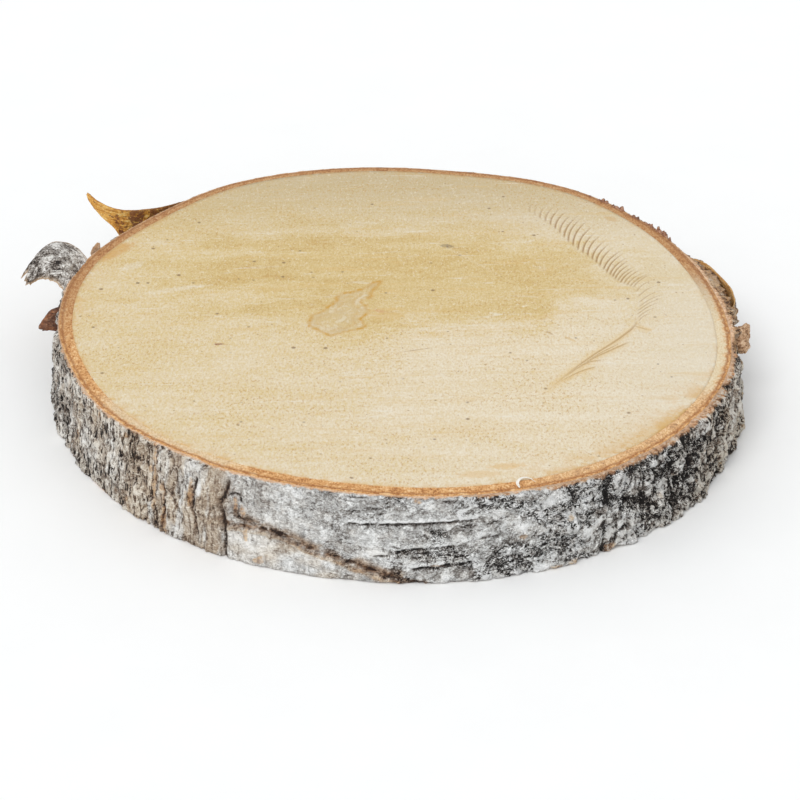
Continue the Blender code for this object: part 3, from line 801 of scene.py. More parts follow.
def buildInnerBark(material):
    # a closed ring between the wood and the cork, with a slightly crumbled sawn top
    look = innerBark
    angle = np.arange(look["columns"])[:, None] * 360 / look["columns"]
    share = np.linspace(1, 0, look["topPoints"]) + 0 * angle
    inner, outer = woodRadius(angle, thick) - look["overlap"], orangeEdge(angle, thick)
    radius = inner + (outer - inner) * share
    crumble = np.abs(trunkLayers(arcOf(angle) + 0 * share, radius - trunk["topFrom"], 2.0, 1.2, 301, 3))
    base = look["base"] + 0 * angle
    height = np.concatenate([base, look["top"] - 0.22 * crumble, base], 1)
    radius = np.concatenate([orangeEdge(angle, 0.0), radius, woodRadius(angle, 0.0) - look["overlap"]], 1)
    across = np.concatenate([1 + 0 * angle, share, 0 * angle], 1)
    pale = np.maximum(0.7 * zone(angle, 214, 238, 8), 0.25 * zone(angle, 300, 330, 14))
    pale = np.maximum(pale, zone(angle, 338, 10, 12))
    masks = {"across": across, "back": zone(angle, 20, 170, 25) + 0 * across, "pale": pale + 0 * across}
    faces = ringFaces(look["columns"], radius.shape[1])
    points = onCircle(radius, angle, height)
    return addPiece("inner_bark", points, faces, (), masks, material, "inner_bark", "bark")


def innerBarkMaterial():
    # orange that darkens in a thin line near its outer edge, with crumbs and short fibres
    look = Finish("inner_bark")
    fine, lump = look.noise((0.8, 1.4, 0.9), 4, 0.7), look.noise((4, 4, 4), 4, 0.6)
    across = look.mask("across")
    pale = look.mask("pale") * (across + lump.spread(1.3)).step(0.42, 0.9, 0.95, 0.0)
    line = (1.0 - abs((across + lump.spread(0.5) - 0.8) / 0.16)).held()
    colour = look.ramp((fine * 0.6 + lump * 0.4).step(0.36, 0.63), innerBark["colours"])
    colour = look.cover(colour, (pale, look.ramp(fine, innerBark["pale"])), (line * 0.75, innerBark["line"]),
                        (look.mask("back") * 0.45, innerBark["back"]))
    return look.finish(colour, 0.85, fine, 0.3, 0.7)


# Wood

wood = {
    "fineFrom": -50.0, "fineTo": 65.0, "fineColumns": 380, "otherColumns": 165,
    "ringStops": ((0, 45, 52), (45, 88, 15), (88, 136, 96)),     # from, to, count
    "edgeRings": 10,
    "baseRings": 5,
    # how much further the stain by the bark reaches in, and its angles from, to and soft
    "rimStains": ((5.0, (296, 330, 12)), (2.5, (150, 176, 8)), (1.5, (215, 240, 10))),
    "markedBox": (52, 130, -82, 126),      # where the saw marks are: x from and to, y from and to
}
sawMarks = {
    "count": 27, "depth": 0.42, "width": 0.40, "seed": 71,
    "feet": ((63, 107), (73, 92), (81.5, 72), (90.5, 57), (97, 43), (102, 34.5), (108, 29)),
    "lengths": (12, 20, 31, 23, 25, 20, 18),
    "turns": (90, 82, 80, 79, 71, 68, 62),
    "strengths": (0.35, 0.85, 1.0, 1.0, 0.95, 0.8, 0.6),
    "bend": 20.0,
}
fanLines = {
    "count": 8, "width": 0.32, "depth": 0.14, "strength": 0.55, "bow": (-1.0, 1.2),
    "feet": ((109, 25), (109.5, 13), (108, 4), (108.5, -3)),
    "heads": ((119, 38), (124, 27), (123.5, 19), (116.5, 5)),
}
# the swoosh and the thin branch beside it: width, depth and line
strandStrength = 0.6
strands = (
    (0.5, 0.35, ((107.5, 0.5), (106.4, -7.7), (97, -21.5), (85.8, -35.1), (74.3, -51.3), (60.9, -72.7))),
    (0.42, 0.25, ((103.9, -21.8), (92.8, -31.5), (85.5, -38.4), (74.1, -52.9))),
    (0.4, 0.22, ((90.8, -38.8), (82.3, -42.4), (70.3, -57.4))),
    (0.36, 0.2, ((87.8, -44.8), (79.6, -49.7), (68, -61))),
    (0.3, 0.15, ((98.6, -24), (88, -34.5), (77.5, -47.5))),
    (0.35, 0.15, ((106.4, -7.7), (110.3, -10.1), (114.5, -12.5))),
)
pithStain = {
    "reach": 62, "points": 150, "raggedSize": 4.0, "raggedSeed": 641,
    "outline": (
        (-42.1, -6.7), (-41.1, 2.1), (-39, 3.9), (-36.1, 6.4), (-33.2, 10.9), (-30.7, 15.5), (-29.7, 20.1),
        (-28.3, 22.4), (-25.6, 24.3), (-22.2, 25.6), (-19.6, 27.6), (-16.7, 29.5), (-13.6, 33.9),
        (-11.3, 35.4), (-8.5, 36.5), (-11, 30.6), (-13.6, 24.6), (-13, 20.9), (-15.5, 18.7), (-17.6, 15.4),
        (-15.5, 11.2), (-14.9, 4.8), (-17.9, -0.4), (-16, -7.8), (-20.3, -10.9), (-26.2, -14), (-31.2, -16.9),
        (-34.2, -15), (-37.7, -11.9)),
}


def mark(line, width, depth, strength, scorched=False):
    # one groove of the saw
    return {"line": line, "width": width, "depth": depth, "strength": strength, "scorched": scorched}


def sawRoutes():
    # the short marks: each starts at its foot and turns right as it goes, by the same numbers as the model
    look = sawMarks
    jitter = np.random.default_rng(look["seed"]).uniform(-1, 1, (look["count"], 3))
    place = np.linspace(0, 1, 9)
    marks = []
    for number in range(look["count"]):
        step = [number / (look["count"] - 1) * (len(look["feet"]) - 1)]
        keys = ("feet", "lengths", "turns", "strengths")
        foot, length, turn, strength = (along(look[key], step)[0] for key in keys)
        turn = np.radians(turn + look["bend"] * (0.5 - place) + 2.0 * jitter[number, 0])
        reach = length * (1 + 0.08 * jitter[number, 1]) * place
        line = foot + reach[:, None] * np.stack([np.cos(turn), np.sin(turn)], -1)
        strength = float(np.clip(strength + 0.12 * jitter[number, 2], 0.2, 1))
        marks.append(mark(line, look["width"], look["depth"] * strength, strength))
    return marks


def fanRoutes():
    # faint lines from feet to heads, each bowed a little to the left
    look = fanLines
    marks = []
    for number in range(look["count"]):
        step = [number / (look["count"] - 1) * (len(look["feet"]) - 1)]
        foot, head = along(look["feet"], step)[0], along(look["heads"], step)[0]
        line = along((foot, (foot + head) / 2 + look["bow"], head), np.linspace(0, 2, 9))
        marks.append(mark(line, look["width"], look["depth"], look["strength"]))
    return marks


def woodMarks(x, y):
    # grooves that are widest near their foot, with a raised burr on the right, and masks for a painted shadow
    # in the groove and a painted highlight on the burr
    left, right, low, high = wood["markedBox"]
    near = np.flatnonzero((x > left) & (x < right) & (y > low) & (y < high))
    nearX, nearY = x.flat[near], y.flat[near]
    found = {key: np.zeros(near.shape) for key in ("sink", "groove", "burr_highlight", "scorch")}
    marks = sawRoutes() + fanRoutes()
    for width, depth, line in strands:
        route = along(line, np.linspace(0, len(line) - 1, 13))
        marks.append(mark(route, width, depth, strandStrength, True))
    for one in marks:
        d, side, t = lineDistance(nearX, nearY, one["line"])
        width = one["width"] * (1.15 - 0.55 * t)
        taper = smooth(t * 6 + 0.15) * smooth((1 - t) * 2.2)
        cut = bell(d, width) * taper
        lip = (side < 0) * bell(d - 2.0 * width, width) * taper
        here = {"sink": one["depth"] * (cut - 0.4 * lip), "groove": cut * one["strength"],
                "burr_highlight": lip * one["strength"],
                "scorch": one["scorched"] * bell(d, 2.2) * smooth(t * 5) * smooth((1 - t) * 5)}
        found = {key: np.maximum(found[key], here[key]) for key in found}
    return {key: spreadOut(x.shape, near, values) for key, values in found.items()}


def spreadOut(shape, places, values):
    # an array of zeros with the values at their places
    whole = np.zeros(shape)
    whole.flat[places] = values
    return whole


def stainMasks(x, y):
    # inside the closed outline, where a level ray crosses it an odd number of times, and near its edge
    look = pithStain
    table = np.asarray(look["outline"])
    place = np.linspace(0, 360, look["points"], endpoint=False)
    outline = np.stack([around(table[:, 0], place), around(table[:, 1], place)], -1)
    near = np.flatnonzero(np.hypot(x, y) < look["reach"])
    nearX, nearY = x.flat[near], y.flat[near]
    crossings = np.zeros(nearX.shape, int)
    for (ax, ay), (bx, by) in zip(outline, np.roll(outline, -1, axis=0)):
        between = (ay > nearY) != (by > nearY)
        crossings += between & (nearX < (bx - ax) * (nearY - ay) / np.where(by == ay, 1e-9, by - ay) + ax)
    inside = crossings % 2 == 1
    d = lineDistance(nearX, nearY, np.concatenate([outline, outline[:1]]))[0]
    size = look["raggedSize"]
    ragged = 0.6 * sheetNoise(nearX + 90, nearY + 90, size, size, look["raggedSeed"])
    signed = np.where(inside, -d, d) + ragged
    edge = bell(signed + 0.3, 0.9) + 0.3 * inside * bell(signed + 4.2, 0.8)
    masks = {"stain": smooth(0.5 - signed / 1.2), "stainEdge": edge}
    return {key: spreadOut(x.shape, near, values) for key, values in masks.items()}


def buildWood(material):
    # a closed disc: rings of points over the top, one wall and a few rings under the base
    look = wood
    fine = np.linspace(look["fineFrom"], look["fineTo"], look["fineColumns"], endpoint=False)
    rest = np.linspace(look["fineTo"], look["fineFrom"] + 360, look["otherColumns"], endpoint=False)
    angle = np.concatenate([fine, rest])
    rings = [np.linspace(low, high, count, endpoint=False) for low, high, count in look["ringStops"]]
    edge, outline = look["ringStops"][-1][1], woodRadius(angle, thick)
    last = edge + (outline - edge) * np.linspace(0, 1, look["edgeRings"])[:, None]
    radius = np.concatenate([np.concatenate(rings)[1:, None] + 0 * angle, last])
    top = onCircle(radius, angle, thick)
    masks = woodMarks(top[..., 0], top[..., 1])
    masks.update(stainMasks(top[..., 0], top[..., 1]))
    top[..., 2] -= masks.pop("sink")
    wide = 1.6 + sum(reach * zone(angle, *where) for reach, where in look["rimStains"])
    masks["rim"] = np.exp((radius - outline) / wide)
    baseShare = np.linspace(1, 0, look["baseRings"], endpoint=False)[:, None]
    base = onCircle(woodRadius(angle, 0.0) * baseShare, angle, 0.0)
    points = np.concatenate([top.reshape(-1, 3), base.reshape(-1, 3), [[0, 0, thick], [0, 0, 0]]])
    pad = np.zeros(len(points) - radius.size)
    masks = {key: np.concatenate([value.ravel(), pad]) for key, value in masks.items()}
    quads, tris = tubeFaces(len(top) + len(base), len(angle))
    return addPiece("wood", points, quads, tris, masks, material, "wood", "wood_disc")


# small marks on the wood: x, y, half length, half width, turn, colour and strength
woodSpots = (
    (22.1, 71.6, 3.4, 2.0, -20, (128, 110, 88), 0.75),
    (-6, 2, 9, 5, 6, (214, 172, 92), 0.4),
    (34, 56, 22, 1.2, -50, (238, 224, 196), 0.22),
    (-82.3, -24.8, 2.4, 0.9, 5, (142, 78, 44), 0.85),
    (-122.5, 34, 1.0, 0.9, 0, (92, 66, 44), 0.8),
    (-117.8, 34, 0.7, 0.8, 0, (110, 78, 50), 0.7),
    (7, -30.2, 7, 0.45, 16, (176, 138, 90), 0.7),
    (57.2, 11.4, 1.6, 0.7, 10, (244, 236, 216), 0.7),
    (101.8, 100.1, 4.0, 2.2, -40, (206, 160, 92), 0.5),
    (44.8, -130.8, 8, 2.6, 6, (220, 172, 84), 0.55),
    (112, -100, 24, 6, 47, (214, 168, 86), 0.5),
    (33, -137.5, 10, 3, 5, (218, 172, 88), 0.45),
    (-134.5, 66.0, 12, 3.6, 52, (208, 150, 66), 0.6),
    (-126.0, 51.0, 7, 3.0, 40, (236, 230, 216), 0.45),
    (-104.0, 28.0, 16, 2.2, 16, (238, 232, 218), 0.4),
    (67.5, -14.2, 2.2, 0.6, -48, (168, 128, 80), 0.65),
    (76.5, -20, 3.6, 0.8, -45, (216, 176, 108), 0.6),
    (116.3, 0.8, 0.7, 0.7, 0, (104, 74, 48), 0.8),
    (114.6, -43, 0.7, 0.6, 0, (104, 74, 48), 0.8),
    (79.2, -19, 0.6, 0.6, 0, (104, 74, 48), 0.7),
    (-9.5, 6.6, 3.4, 1.6, -20, (206, 150, 104), 0.5),
    (-70.2, -96.6, 0.8, 0.7, 0, (112, 80, 52), 0.7),
)
woodTones = {
    "plain": ((0.0, (196, 154, 84)), (0.22, (212, 184, 122)), (0.45, (222, 199, 148)),
              (0.68, (230, 214, 184)), (1.0, (242, 233, 214))),
    "right": (227, 217, 197), "back": (190, 171, 134), "ochre": (220, 186, 120), "pale": (236, 229, 214),
    "sand": (196, 152, 86), "crumb": (244, 236, 216), "speck": (122, 88, 54), "pore": (150, 108, 62),
    "halo": (216, 172, 106), "stain": (208, 184, 140), "mottle": (230, 218, 190), "border": (204, 152, 48),
    # the burr colour is a painted highlight on the lips of the saw marks, and the groove colour a painted
    # shadow in their grooves
    "scorch": (222, 186, 118), "burr_highlight": (242, 226, 190), "groove": (158, 114, 60),
}


def woodMaterial():
    # level bands and streaks from stretched noise, a paler front right, grain, pores, and the marks above
    look, tones = Finish("birch_wood"), woodTones
    split = look.node("ShaderNodeSeparateXYZ", {0: look.spot})
    x, y = Wire(look, split.outputs["X"]), Wire(look, split.outputs["Y"])
    level = look.mapped(Rotation=(0.0, 0.0, math.radians(-2.5)))
    cloud = look.noise((46, 24, 40), 4, 0.6, warp=0.6)
    band = look.noise((90, 13, 60), 5, 0.62, level, 0.9)
    streak = look.noise((34, 2.0, 60), 4, 0.7, level, 0.5)
    grain = look.noise((0.9, 1.7, 1.2), 4, 0.7).step(0.34, 0.66)
    middle = look.mapped("TEXTURE", Location=(10, 40, thick), Scale=(130, 56, 100))
    inMiddle = (look.vector("LENGTH", {0: middle}, "Value") + cloud.spread(1.6)).step(0.35, 1.15, 1.0, 0.0)
    value = y.step(-150, 150, 0.66, 0.52) + x.step(-130, 130, -0.07, 0.08) - inMiddle * 0.27
    value = value + band.spread(0.34) + streak.spread(0.16) + cloud.spread(0.36) + grain.spread(0.28)
    right, back = x.step(60, 150), y.step(60, 155)
    ochre = look.noise((44, 5, 60), 5, 0.62, level, 0.8).step(0.53, 0.70)
    ochre = ochre * inMiddle.step(0.0, 1.0, 0.32, 0.55)
    pale = look.noise((26, 3.6, 60), 4, 0.6, level, 1.0).step(0.58, 0.74)
    sand = look.noise((1.2, 2.2, 1.6), 3, 0.65).step(0.38, 0.45, 1.0, 0.0)
    sand = sand * cloud.step(0.36, 0.62, 0.62, 0.22) * right.step(0.0, 1.0, 1.0, 0.35)
    crumb = look.noise((1.1, 2.0, 1.5), 2, 0.6, warp=0.4).step(0.60, 0.68)
    frontRight = right * y.step(-70, -10, 1.0, 0.0)
    halo = look.mask("rim") * look.noise((7, 7, 7), 4, 0.65).step(0.36, 0.62)
    halo = halo * (right.step(0.4, 1.0, 0.75, 0.3) + frontRight * 0.6)
    colour = look.cover(
        look.ramp(value, tones["plain"]), (right * 0.5, tones["right"]), (back * 0.66, tones["back"]),
        (ochre, tones["ochre"]), (pale * 0.6, tones["pale"]), (sand, tones["sand"]),
        (crumb * 0.35, tones["crumb"]), (look.dots(7.0, 0.55, 0.2) * 0.7, tones["speck"]),
        (look.dots(3.1, 0.28, 0.3) * 0.55, tones["pore"]), (halo, tones["halo"]))

    ragged, grained = look.noise(1.6, 3).spread(1.6), grain.step(0.1, 0.9, 0.55, 1.0)
    for across, up, half, width, turn, tone, strength in woodSpots:
        place = look.mapped("TEXTURE", Location=(across, up, thick), Rotation=(0, 0, math.radians(turn)),
                            Scale=(half, width, 8.0))
        far = look.vector("LENGTH", {0: place}, "Value") + ragged
        colour = look.blend(far.step(0.6, 1.25, strength, 0.0) * grained, colour, tone)

    stain = look.mask("stain")
    mottle = look.noise((4.0, 6.0, 4.0), 4, 0.65, warp=0.6).step(0.52, 0.64, 0.0, 0.6)
    border = look.mask("stainEdge") * look.noise((2.4, 4.0, 2.4), 4, 0.65).step(0.36, 0.60, 0.3, 1.0)
    # over the stain and scorch, a painted highlight on each saw mark's burr and a painted shadow in its
    # groove
    colour = look.cover(
        colour, (stain * look.noise(7, 4, 0.6).step(0.3, 0.65, 0.25, 0.75), tones["stain"]),
        (stain * mottle, tones["mottle"]), (border.held(), tones["border"]),
        (look.mask("scorch") * 0.55, tones["scorch"]), (look.mask("burr_highlight") * 0.6, tones["burr_highlight"]),
        (look.mask("groove") * 0.9, tones["groove"]))
    return look.finish(colour, 0.72, grain + streak * 0.7, 0.16, 0.7)


# Sheets of bark that stand off the trunk

# steps down and across, thickness, relief, how far the edges are torn, which side is the golden one, notches
# in the far end as place, reach and depth, colours, and rows of points from the trunk outwards

peelCommon = dict(thickness=0.8, relief=0.7, lower=1.2, golden=0, notches=(), fleck=(2.0, 2.0, 1.2),
                  flakes=0.3, speckle=0.46, farDark=0.0)
peels = {
    "gold_curl": dict(
        peelCommon, steps=(120, 70), tear=1.2, golden=1, seed=501, streak=(7, 7, 1.0), rough=0.5, flakes=0.8,
        gold=((0.0, (156, 92, 24)), (0.35, (208, 142, 48)), (0.7, (232, 178, 84)), (1.0, (250, 218, 146))),
        dark=(120, 62, 24), darkShare=0.9, greyShade=0.5, greyWarm=0.4, edge=(190, 132, 66), edgeShare=0.4,
        rows=(((-93.3, 128.5, 39.4), (-94.2, 129.7, 20), (-95, 130.8, 3)),
              ((-105, 121.2, 39.6), (-105.8, 122.2, 21), (-106.6, 123, 4)),
              ((-117.5, 113, 39.8), (-118.3, 113.9, 22), (-119, 114.2, 7)),
              ((-131.5, 109.5, 40), (-132, 110.8, 28), (-131.5, 109, 16)),
              ((-140, 111.5, 40.2), (-140.8, 112.5, 34.8), (-139.5, 110.5, 29)),
              ((-148, 118, 41), (-148.8, 118.5, 37.4), (-147.5, 117, 34)),
              ((-153.5, 125, 42), (-154, 125.5, 40.8), (-153.5, 124.5, 39)))),
    "grey_flap": dict(
        peelCommon, steps=(100, 90), thickness=0.9, relief=1.1, tear=1.8, lower=0.7, golden=-1, seed=511,
        notches=((0.48, 0.16, 4.5), (1.0, 0.12, 2.0), (0.75, 0.06, 1.5)),
        streak=(5, 5, 0.8), fleck=(6.5, 1.8, 2.2), rough=0.8, speckle=0.34, farDark=0.42,
        gold=((0.0, (150, 112, 74)), (0.5, (186, 150, 106)), (1.0, (212, 182, 140))),
        dark=(110, 76, 46), darkShare=0.4, greyShade=0.84, greyWarm=0.25,
        edge=(200, 164, 124), edgeShare=0.85,
        rows=(((-146, 58, 37.5), (-151.5, 43, 37), (-154, 27, 35)),
              ((-153.5, 60.5, 45), (-156, 46, 45.5), (-158.5, 31, 39)),
              ((-162.5, 59.5, 48.5), (-164.5, 47, 48.5), (-164, 33.5, 41.5)),
              ((-170.5, 52.5, 45.5), (-171, 45, 45), (-169.5, 37, 39.5)),
              ((-178.5, 46, 36.5), (-178, 42.5, 36.2), (-175, 39, 34.5)))),
    "brown_flap": dict(
        peelCommon, steps=(50, 40), tear=1.0, seed=521, notches=((0.0, 0.35, 4.5), (0.95, 0.1, 1.6)),
        streak=(3, 3, 1.2), rough=0.7,
        gold=((0.0, (72, 36, 20)), (0.5, (128, 74, 42)), (1.0, (182, 122, 78))),
        dark=(58, 30, 18), darkShare=0.6, greyShade=0.30, greyWarm=1.0, edge=(84, 46, 26), edgeShare=0.7,
        rows=(((-154, 15, 38), (-154, 9, 34), (-154, 3, 30)),
              ((-160.5, 13.0, 37.5), (-161.5, 8.0, 35), (-160.5, 3.4, 31)),
              ((-166, 7.5, 34.2), (-166.8, 5.6, 32.6), (-166, 3.6, 31.0)))),
    "right_curl": dict(
        peelCommon, steps=(110, 60), tear=1.4, lower=1.4, golden=-1, seed=531,
        streak=(5, 5, 0.9), rough=0.6, flakes=0.5, speckle=0.4,
        gold=((0.0, (176, 116, 54)), (0.4, (220, 164, 94)), (0.75, (238, 194, 128)), (1.0, (248, 218, 160))),
        dark=(140, 86, 44), darkShare=0.3, greyShade=0.5, greyWarm=0.9, edge=(214, 164, 96), edgeShare=0.5,
        rows=(((132, 63.5, 39.2), (132, 63.5, 21), (132, 63.5, 3)),
              ((138, 60, 39.5), (138.6, 60.5, 23), (138, 60, 6)),
              ((144.5, 53.5, 39.8), (145.3, 54, 25), (144.5, 53.5, 11)),
              ((149.4, 42, 40), (150.4, 42.5, 29), (149.4, 42, 18)),
              ((153.6, 28, 40), (154.6, 28, 32), (153.6, 28, 25)),
              ((154, 16, 39.5), (154.8, 15.8, 34.5), (153.6, 16.5, 30)),
              ((151.5, 9, 38.5), (152, 8.6, 35.5), (151.5, 9.4, 32.5)))),
    "left_splinter": dict(
        peelCommon, steps=(36, 24), relief=0.4, tear=0.6, lower=1.0, seed=541,
        notches=((0.55, 0.16, 1.6), (1.0, 0.2, 1.2)),
        streak=(2, 2, 3), fleck=(1.5, 1.5, 2.5), rough=0.8, flakes=0.0, speckle=0.3,
        gold=((0.0, (176, 134, 100)), (0.5, (214, 174, 138)), (1.0, (236, 208, 178))),
        dark=(140, 96, 64), darkShare=0.15, greyShade=0.8, greyWarm=1.0, edge=(190, 150, 106), edgeShare=0.5,
        rows=(((-142.0, 70.4, 36), (-144.2, 67.0, 36), (-146.0, 63.4, 36)),
              ((-143.0, 71.2, 39.6), (-145.4, 67.8, 40.0), (-147.0, 64.3, 39.4)),
              ((-143.2, 71.4, 41.8), (-145.2, 69.0, 43.2), (-146.7, 66.4, 41.0)))),
}


def buildPeel(name, material):
    # a smooth sheet through the rows, pulled in at its torn edges, roughened and given a thickness
    look, seed = peels[name], peels[name]["seed"]
    down, over = look["steps"]
    grid = np.asarray(look["rows"], float)
    u, v = np.meshgrid(np.linspace(0, 1, down), np.linspace(0, 1, over), indexing="ij")
    size = np.linalg.norm(np.diff(grid, axis=0), axis=-1)[:, 1].sum()
    width = np.linalg.norm(grid[0, 0] - grid[0, -1])
    torn = look["tear"] / width * smooth(u * 4)
    pull = 0.3 * np.abs(sheetNoise(u * size, 0 * v, 5.0, 9.0, seed)) * torn
    lower = np.abs(sheetNoise(u * size, 0 * v + 40, 7.0, 9.0, seed + 5)) * torn * look["lower"]
    tip = np.abs(sheetNoise(0 * u, v * width, 5.0, 3.0, seed + 9)) * look["tear"] / size
    notch = sum(depth * bell(v - place, reach) for place, reach, depth in look["notches"]) / size
    lengthwise, across = u * (1 - tip - notch), pull + v * (1 - pull - lower)
    sheet = gridCurve(grid, lengthwise * (len(grid) - 1), across * (grid.shape[1] - 1))
    normal = np.cross(np.gradient(sheet, axis=0), np.gradient(sheet, axis=1))
    normal /= np.linalg.norm(normal, axis=-1, keepdims=True) + 1e-9
    bumps = sheetNoise(u * size, v * width, 3.2, 4.2, seed + 13)
    fine = sheetNoise(u * size, v * width, 1.2, 1.5, seed + 17)
    wave = sheetNoise(u * size, v * width, 9, 12, seed + 21)
    edge = np.minimum(np.minimum(v, 1 - v) * width, (1 - u) * size)
    half = look["thickness"] / 2 * (0.35 + 0.65 * smooth(edge / 2.0))
    rough = look["relief"] * smooth(edge / 1.5)
    middle = sheet + normal * (0.35 * wave * look["relief"])[..., None]
    front = middle + normal * (half + 0.35 * bumps * rough)[..., None]
    back = middle - normal * (half + 0.18 * fine * rough)[..., None]
    points = np.concatenate([front.reshape(-1, 3), back.reshape(-1, 3)])
    ids = np.arange(down * over).reshape(down, over)
    rim = np.concatenate([ids[:, 0], ids[-1, 1:], ids[-2::-1, -1], ids[0, -2:0:-1]])
    nextRim = np.roll(rim, -1)
    rimFaces = np.stack([nextRim, rim, rim + ids.size, nextRim + ids.size], -1)
    quads = np.concatenate([netFaces(ids)[:, ::-1], netFaces(ids) + ids.size, rimFaces])
    side = np.repeat([1.0, -1.0], ids.size)
    masks = {"golden": 0.5 + 0.5 * side * look["golden"] if look["golden"] else 0 * side + 0.8,
             "edge": np.tile(np.exp(-edge / 0.9).ravel(), 2),
             "dark": np.tile((1.15 - 1.1 * u - 0.1 * v).ravel(), 2)}
    return addPiece(name, points, quads, (), masks, material, "bark", "bark")


def peelMaterial(name, tones):
    # a golden inner side with streaks and dark stains, and a grey outer side with crisp speckles
    look = Finish(name)
    streak = look.noise(tones["streak"], 4, 0.6, warp=0.3).step(0.34, 0.66)
    fine = look.noise(1.1, 4, 0.65).step(0.34, 0.66)
    patch = look.noise(5.5, 4, 0.65, warp=0.6)
    value = streak * 0.6 + fine * 0.4
    gold = look.ramp(value, tones["gold"])
    stained = (look.mask("dark") + patch.spread(2.2)).step(0.42, 0.58)
    flakes = look.noise((2.6, 2.6, 1.4), 3, 0.6, warp=0.8).step(0.56, 0.62)
    inside = look.cover(gold, (stained * tones["darkShare"], tones["dark"]), (flakes * tones["flakes"], gold))
    crisp = look.noise(tones["fleck"], 3, 0.55, warp=1.2).step(0.42, 0.58)
    line = look.noise(2.6, 2, 0.5, warp=1.3).crease(0.02, 0.08)
    grey = crisp.spread(tones["speckle"]) + tones["greyShade"] + patch.spread(1.5) + fine.spread(0.16)
    grey = (grey - (1.0 - look.mask("dark")) * tones["farDark"] - line * 0.35).held()
    outside = look.blend(tones["greyWarm"], look.ramp(grey, greyStops), look.ramp(grey, tanStops))
    worn = look.mask("edge") * tones["edgeShare"]
    colour = look.cover(outside, (look.mask("golden"), inside), (worn, tones["edge"]))
    return look.finish(colour, tones["rough"], value + crisp, 0.3, 0.7)


# Knob, back splinters and the white shaving

knob = {
    "centre": (153.6, -7.4, 33.0), "radii": (6.6, 8.6, 6.6), "grid": (70, 110),
    # radians down from its top and round from +X, width, and how far it stands out
    "arm": (0.8, 0.5, 0.34, 0.42), "swelling": (2.0, 5.4, 0.5, 0.18), "hollow": (0.8, 3.95, 0.36, -0.45),
    "colours": ((0.0, (96, 66, 44)), (0.35, (160, 122, 88)), (0.7, (206, 172, 138)), (1.0, (228, 204, 176))),
    # the nearly black colour is painted shade in the hollow
    "hollow_shade": (28, 20, 14),
}


def buildKnob(material):
    # a lumpy stub with a raised arm at its upper right and a hollow at its front left, darkened with painted
    # shade
    look = knob
    rows, sides = look["grid"]
    fall = np.linspace(0, math.pi, rows + 2)[1:-1, None] + np.zeros(sides)
    turn = np.arange(sides) * 2 * math.pi / sides + np.zeros((rows, 1))

    def bump(key):
        # a round rise about one spot of the stub, and how high it is
        upDown, roundTurn, wide, high = look[key]
        away = (turn - roundTurn + math.pi) % (2 * math.pi) - math.pi
        return bell(fall - upDown, wide) * bell(away * np.sin(fall), wide), high

    size = 0.80 + sum(shape * high for shape, high in map(bump, ("arm", "swelling", "hollow")))
    size += 0.10 * sheetNoise(fall * 8, np.sin(turn) * 8, 2.2, 2.2, 601)
    size += 0.06 * sheetNoise(fall * 8, np.cos(turn) * 7, 0.9, 0.9, 605)
    ball = np.stack([np.sin(fall) * np.cos(turn), np.sin(fall) * np.sin(turn), np.cos(fall)], -1)
    ball = (ball * size[..., None]).reshape(-1, 3)
    points = np.concatenate([ball, [(0, 0, size[0].mean()), (0, 0, -size[-1].mean())]])
    # the mask of the painted shade in the hollow
    masks = {"hollow_shade": np.append(bump("hollow")[0].ravel(), (0, 0))}
    return addPiece("knob", points * look["radii"] + look["centre"], *tubeFaces(rows, sides), masks, material,
                    "bark", "bark")


def knobMaterial():
    # tan fibres in two sizes of noise, and nearly black painted shade in the hollow
    look = Finish("knob_bark")
    value = look.noise(0.8, 5, 0.7) * 0.55 + look.noise(3.5, 4, 0.6) * 0.45
    colour = look.blend(look.mask("hollow_shade"), look.ramp(value.step(0.36, 0.64), knob["colours"]), knob["hollow_shade"])
    return look.finish(colour, 0.85, value, 0.35, 0.8)


ridge = {
    "first": 29.0, "last": 57.0, "columns": 420, "base": 34.0, "low": 39.2, "teeth": 5.4,
    "inner": 2.9, "outer": 0.5,
    "tones": dict(peels["brown_flap"], dark=(92, 56, 42), greyShade=0.54, edge=(150, 104, 78),
                  gold=((0.0, (104, 62, 44)), (0.5, (164, 112, 84)), (1.0, (214, 170, 142)))),
}


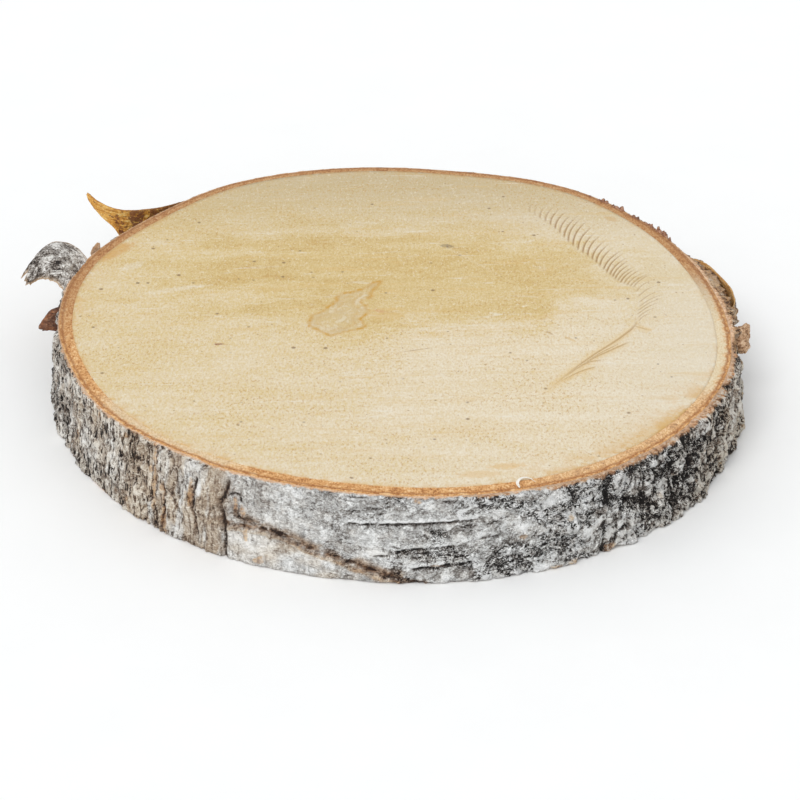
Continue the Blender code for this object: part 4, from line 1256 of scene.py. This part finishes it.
def buildRidge(material):
    # a thin ragged rim of torn bark along the back right, whose teeth are noise raised to a power
    look = ridge
    place = np.linspace(0, 1, look["columns"])[:, None]
    angle = look["first"] + (look["last"] - look["first"]) * place
    arc = arcOf(angle)
    swell = smooth(place * 8) * smooth((1 - place) * 5)
    tall = np.clip(0.5 + 0.5 * trunkLayers(arc, 0 * arc, 9, 9, 611, 2), 0, 1)
    teeth = np.clip(0.45 + 0.6 * trunkLayers(arc, 0 * arc, 3.6, 9, 615, 4, 0.75), 0, 1) ** 1.5
    top = look["low"] + look["teeth"] * swell * (0.2 + 0.8 * tall) * teeth
    share = np.array([0, 0.35, 0.7, 1.0])
    innerSide = look["inner"] - (look["inner"] - look["outer"]) * 0.4 * share ** 2
    outerSide = look["outer"] + 0.55 * share[::-1] ** 2 - 0.1
    up = np.concatenate([share, share[::-1]])
    centre = 0.5 * (look["inner"] + look["outer"])
    deep = centre + (np.concatenate([innerSide, outerSide]) - centre) * (0.15 + 0.85 * swell)
    lean = 0.4 * trunkLayers(arc, 0 * arc, 5, 9, 621, 3)
    radius = around(trunk["outerRadii"], angle) - deep + lean * up
    points = onCircle(radius, angle, look["base"] + (top - look["base"]) * up)
    quads, tris = tubeFaces(look["columns"], len(up))
    points = np.concatenate([points.reshape(-1, 3), points[[0, -1]].mean(axis=1)])
    flat = np.ones(len(points))
    masks = {"golden": 0.85 * flat, "edge": 0 * flat, "dark": 0.3 * flat}
    return addPiece("back_splinters", points, quads[:, ::-1], tris[:, ::-1], masks, material, "bark", "bark")


shaving = {
    "path": ((49.6, -148.6, 40.2), (48.8, -145.6, 40.8), (50.6, -142.8, 41.3), (53.8, -142.3, 41.1),
             (56.6, -144.6, 40.4)),
    "width": 1.9, "thickness": 0.35, "cupped": 0.35, "grid": (48, 12),
    "colours": ((0.0, (226, 216, 198)), (1.0, (250, 246, 238))),
}


def buildShaving(material):
    # a thin cupped strip along a curved path, wide at one side and pointed at both ends
    look = shaving
    rows, sides = look["grid"]
    share = np.linspace(0, 1, rows)
    path = along(look["path"], share * (len(look["path"]) - 1))
    run = np.gradient(path, axis=0)
    run /= np.linalg.norm(run, axis=-1, keepdims=True)
    over = np.cross(run, (0, 0, 1.0))
    up = np.cross(over, run)
    inside = np.clip(share, 0.02, 0.98)
    swell = (1.9 * inside ** 0.45 * (1 - inside) ** 1.1)[:, None]
    turn = np.arange(sides) * 2 * math.pi / sides
    wide = np.cos(turn) * look["width"] / 2 * swell
    high = np.sin(turn) * look["thickness"] / 2 * (0.4 + 0.6 * swell)
    high += look["cupped"] * (wide / look["width"] * 2) ** 2
    points = path[:, None] + wide[..., None] * over[:, None] + high[..., None] * up[:, None]
    points = np.concatenate([points.reshape(-1, 3), path[:1], path[-1:]])
    return addPiece("white_shaving", points, *tubeFaces(rows, sides), {}, material, "wood", "wood_disc")


def shavingMaterial():
    # nearly white, with a fine soft grain
    look = Finish("pale_shaving")
    fine = look.noise(0.6, 3)
    return look.finish(look.ramp(fine.step(0.3, 0.7), shaving["colours"]), 0.7, fine, 0.1, 0.5)


buildStudio()
buildWood(woodMaterial())
buildInnerBark(innerBarkMaterial())
buildBark(barkMaterial())
for peelName in peels:
    buildPeel(peelName, peelMaterial(peelName + "_bark", peels[peelName]))
buildKnob(knobMaterial())
buildRidge(peelMaterial("ridge_bark", ridge["tones"]))
buildShaving(shavingMaterial())

print("slice finished")
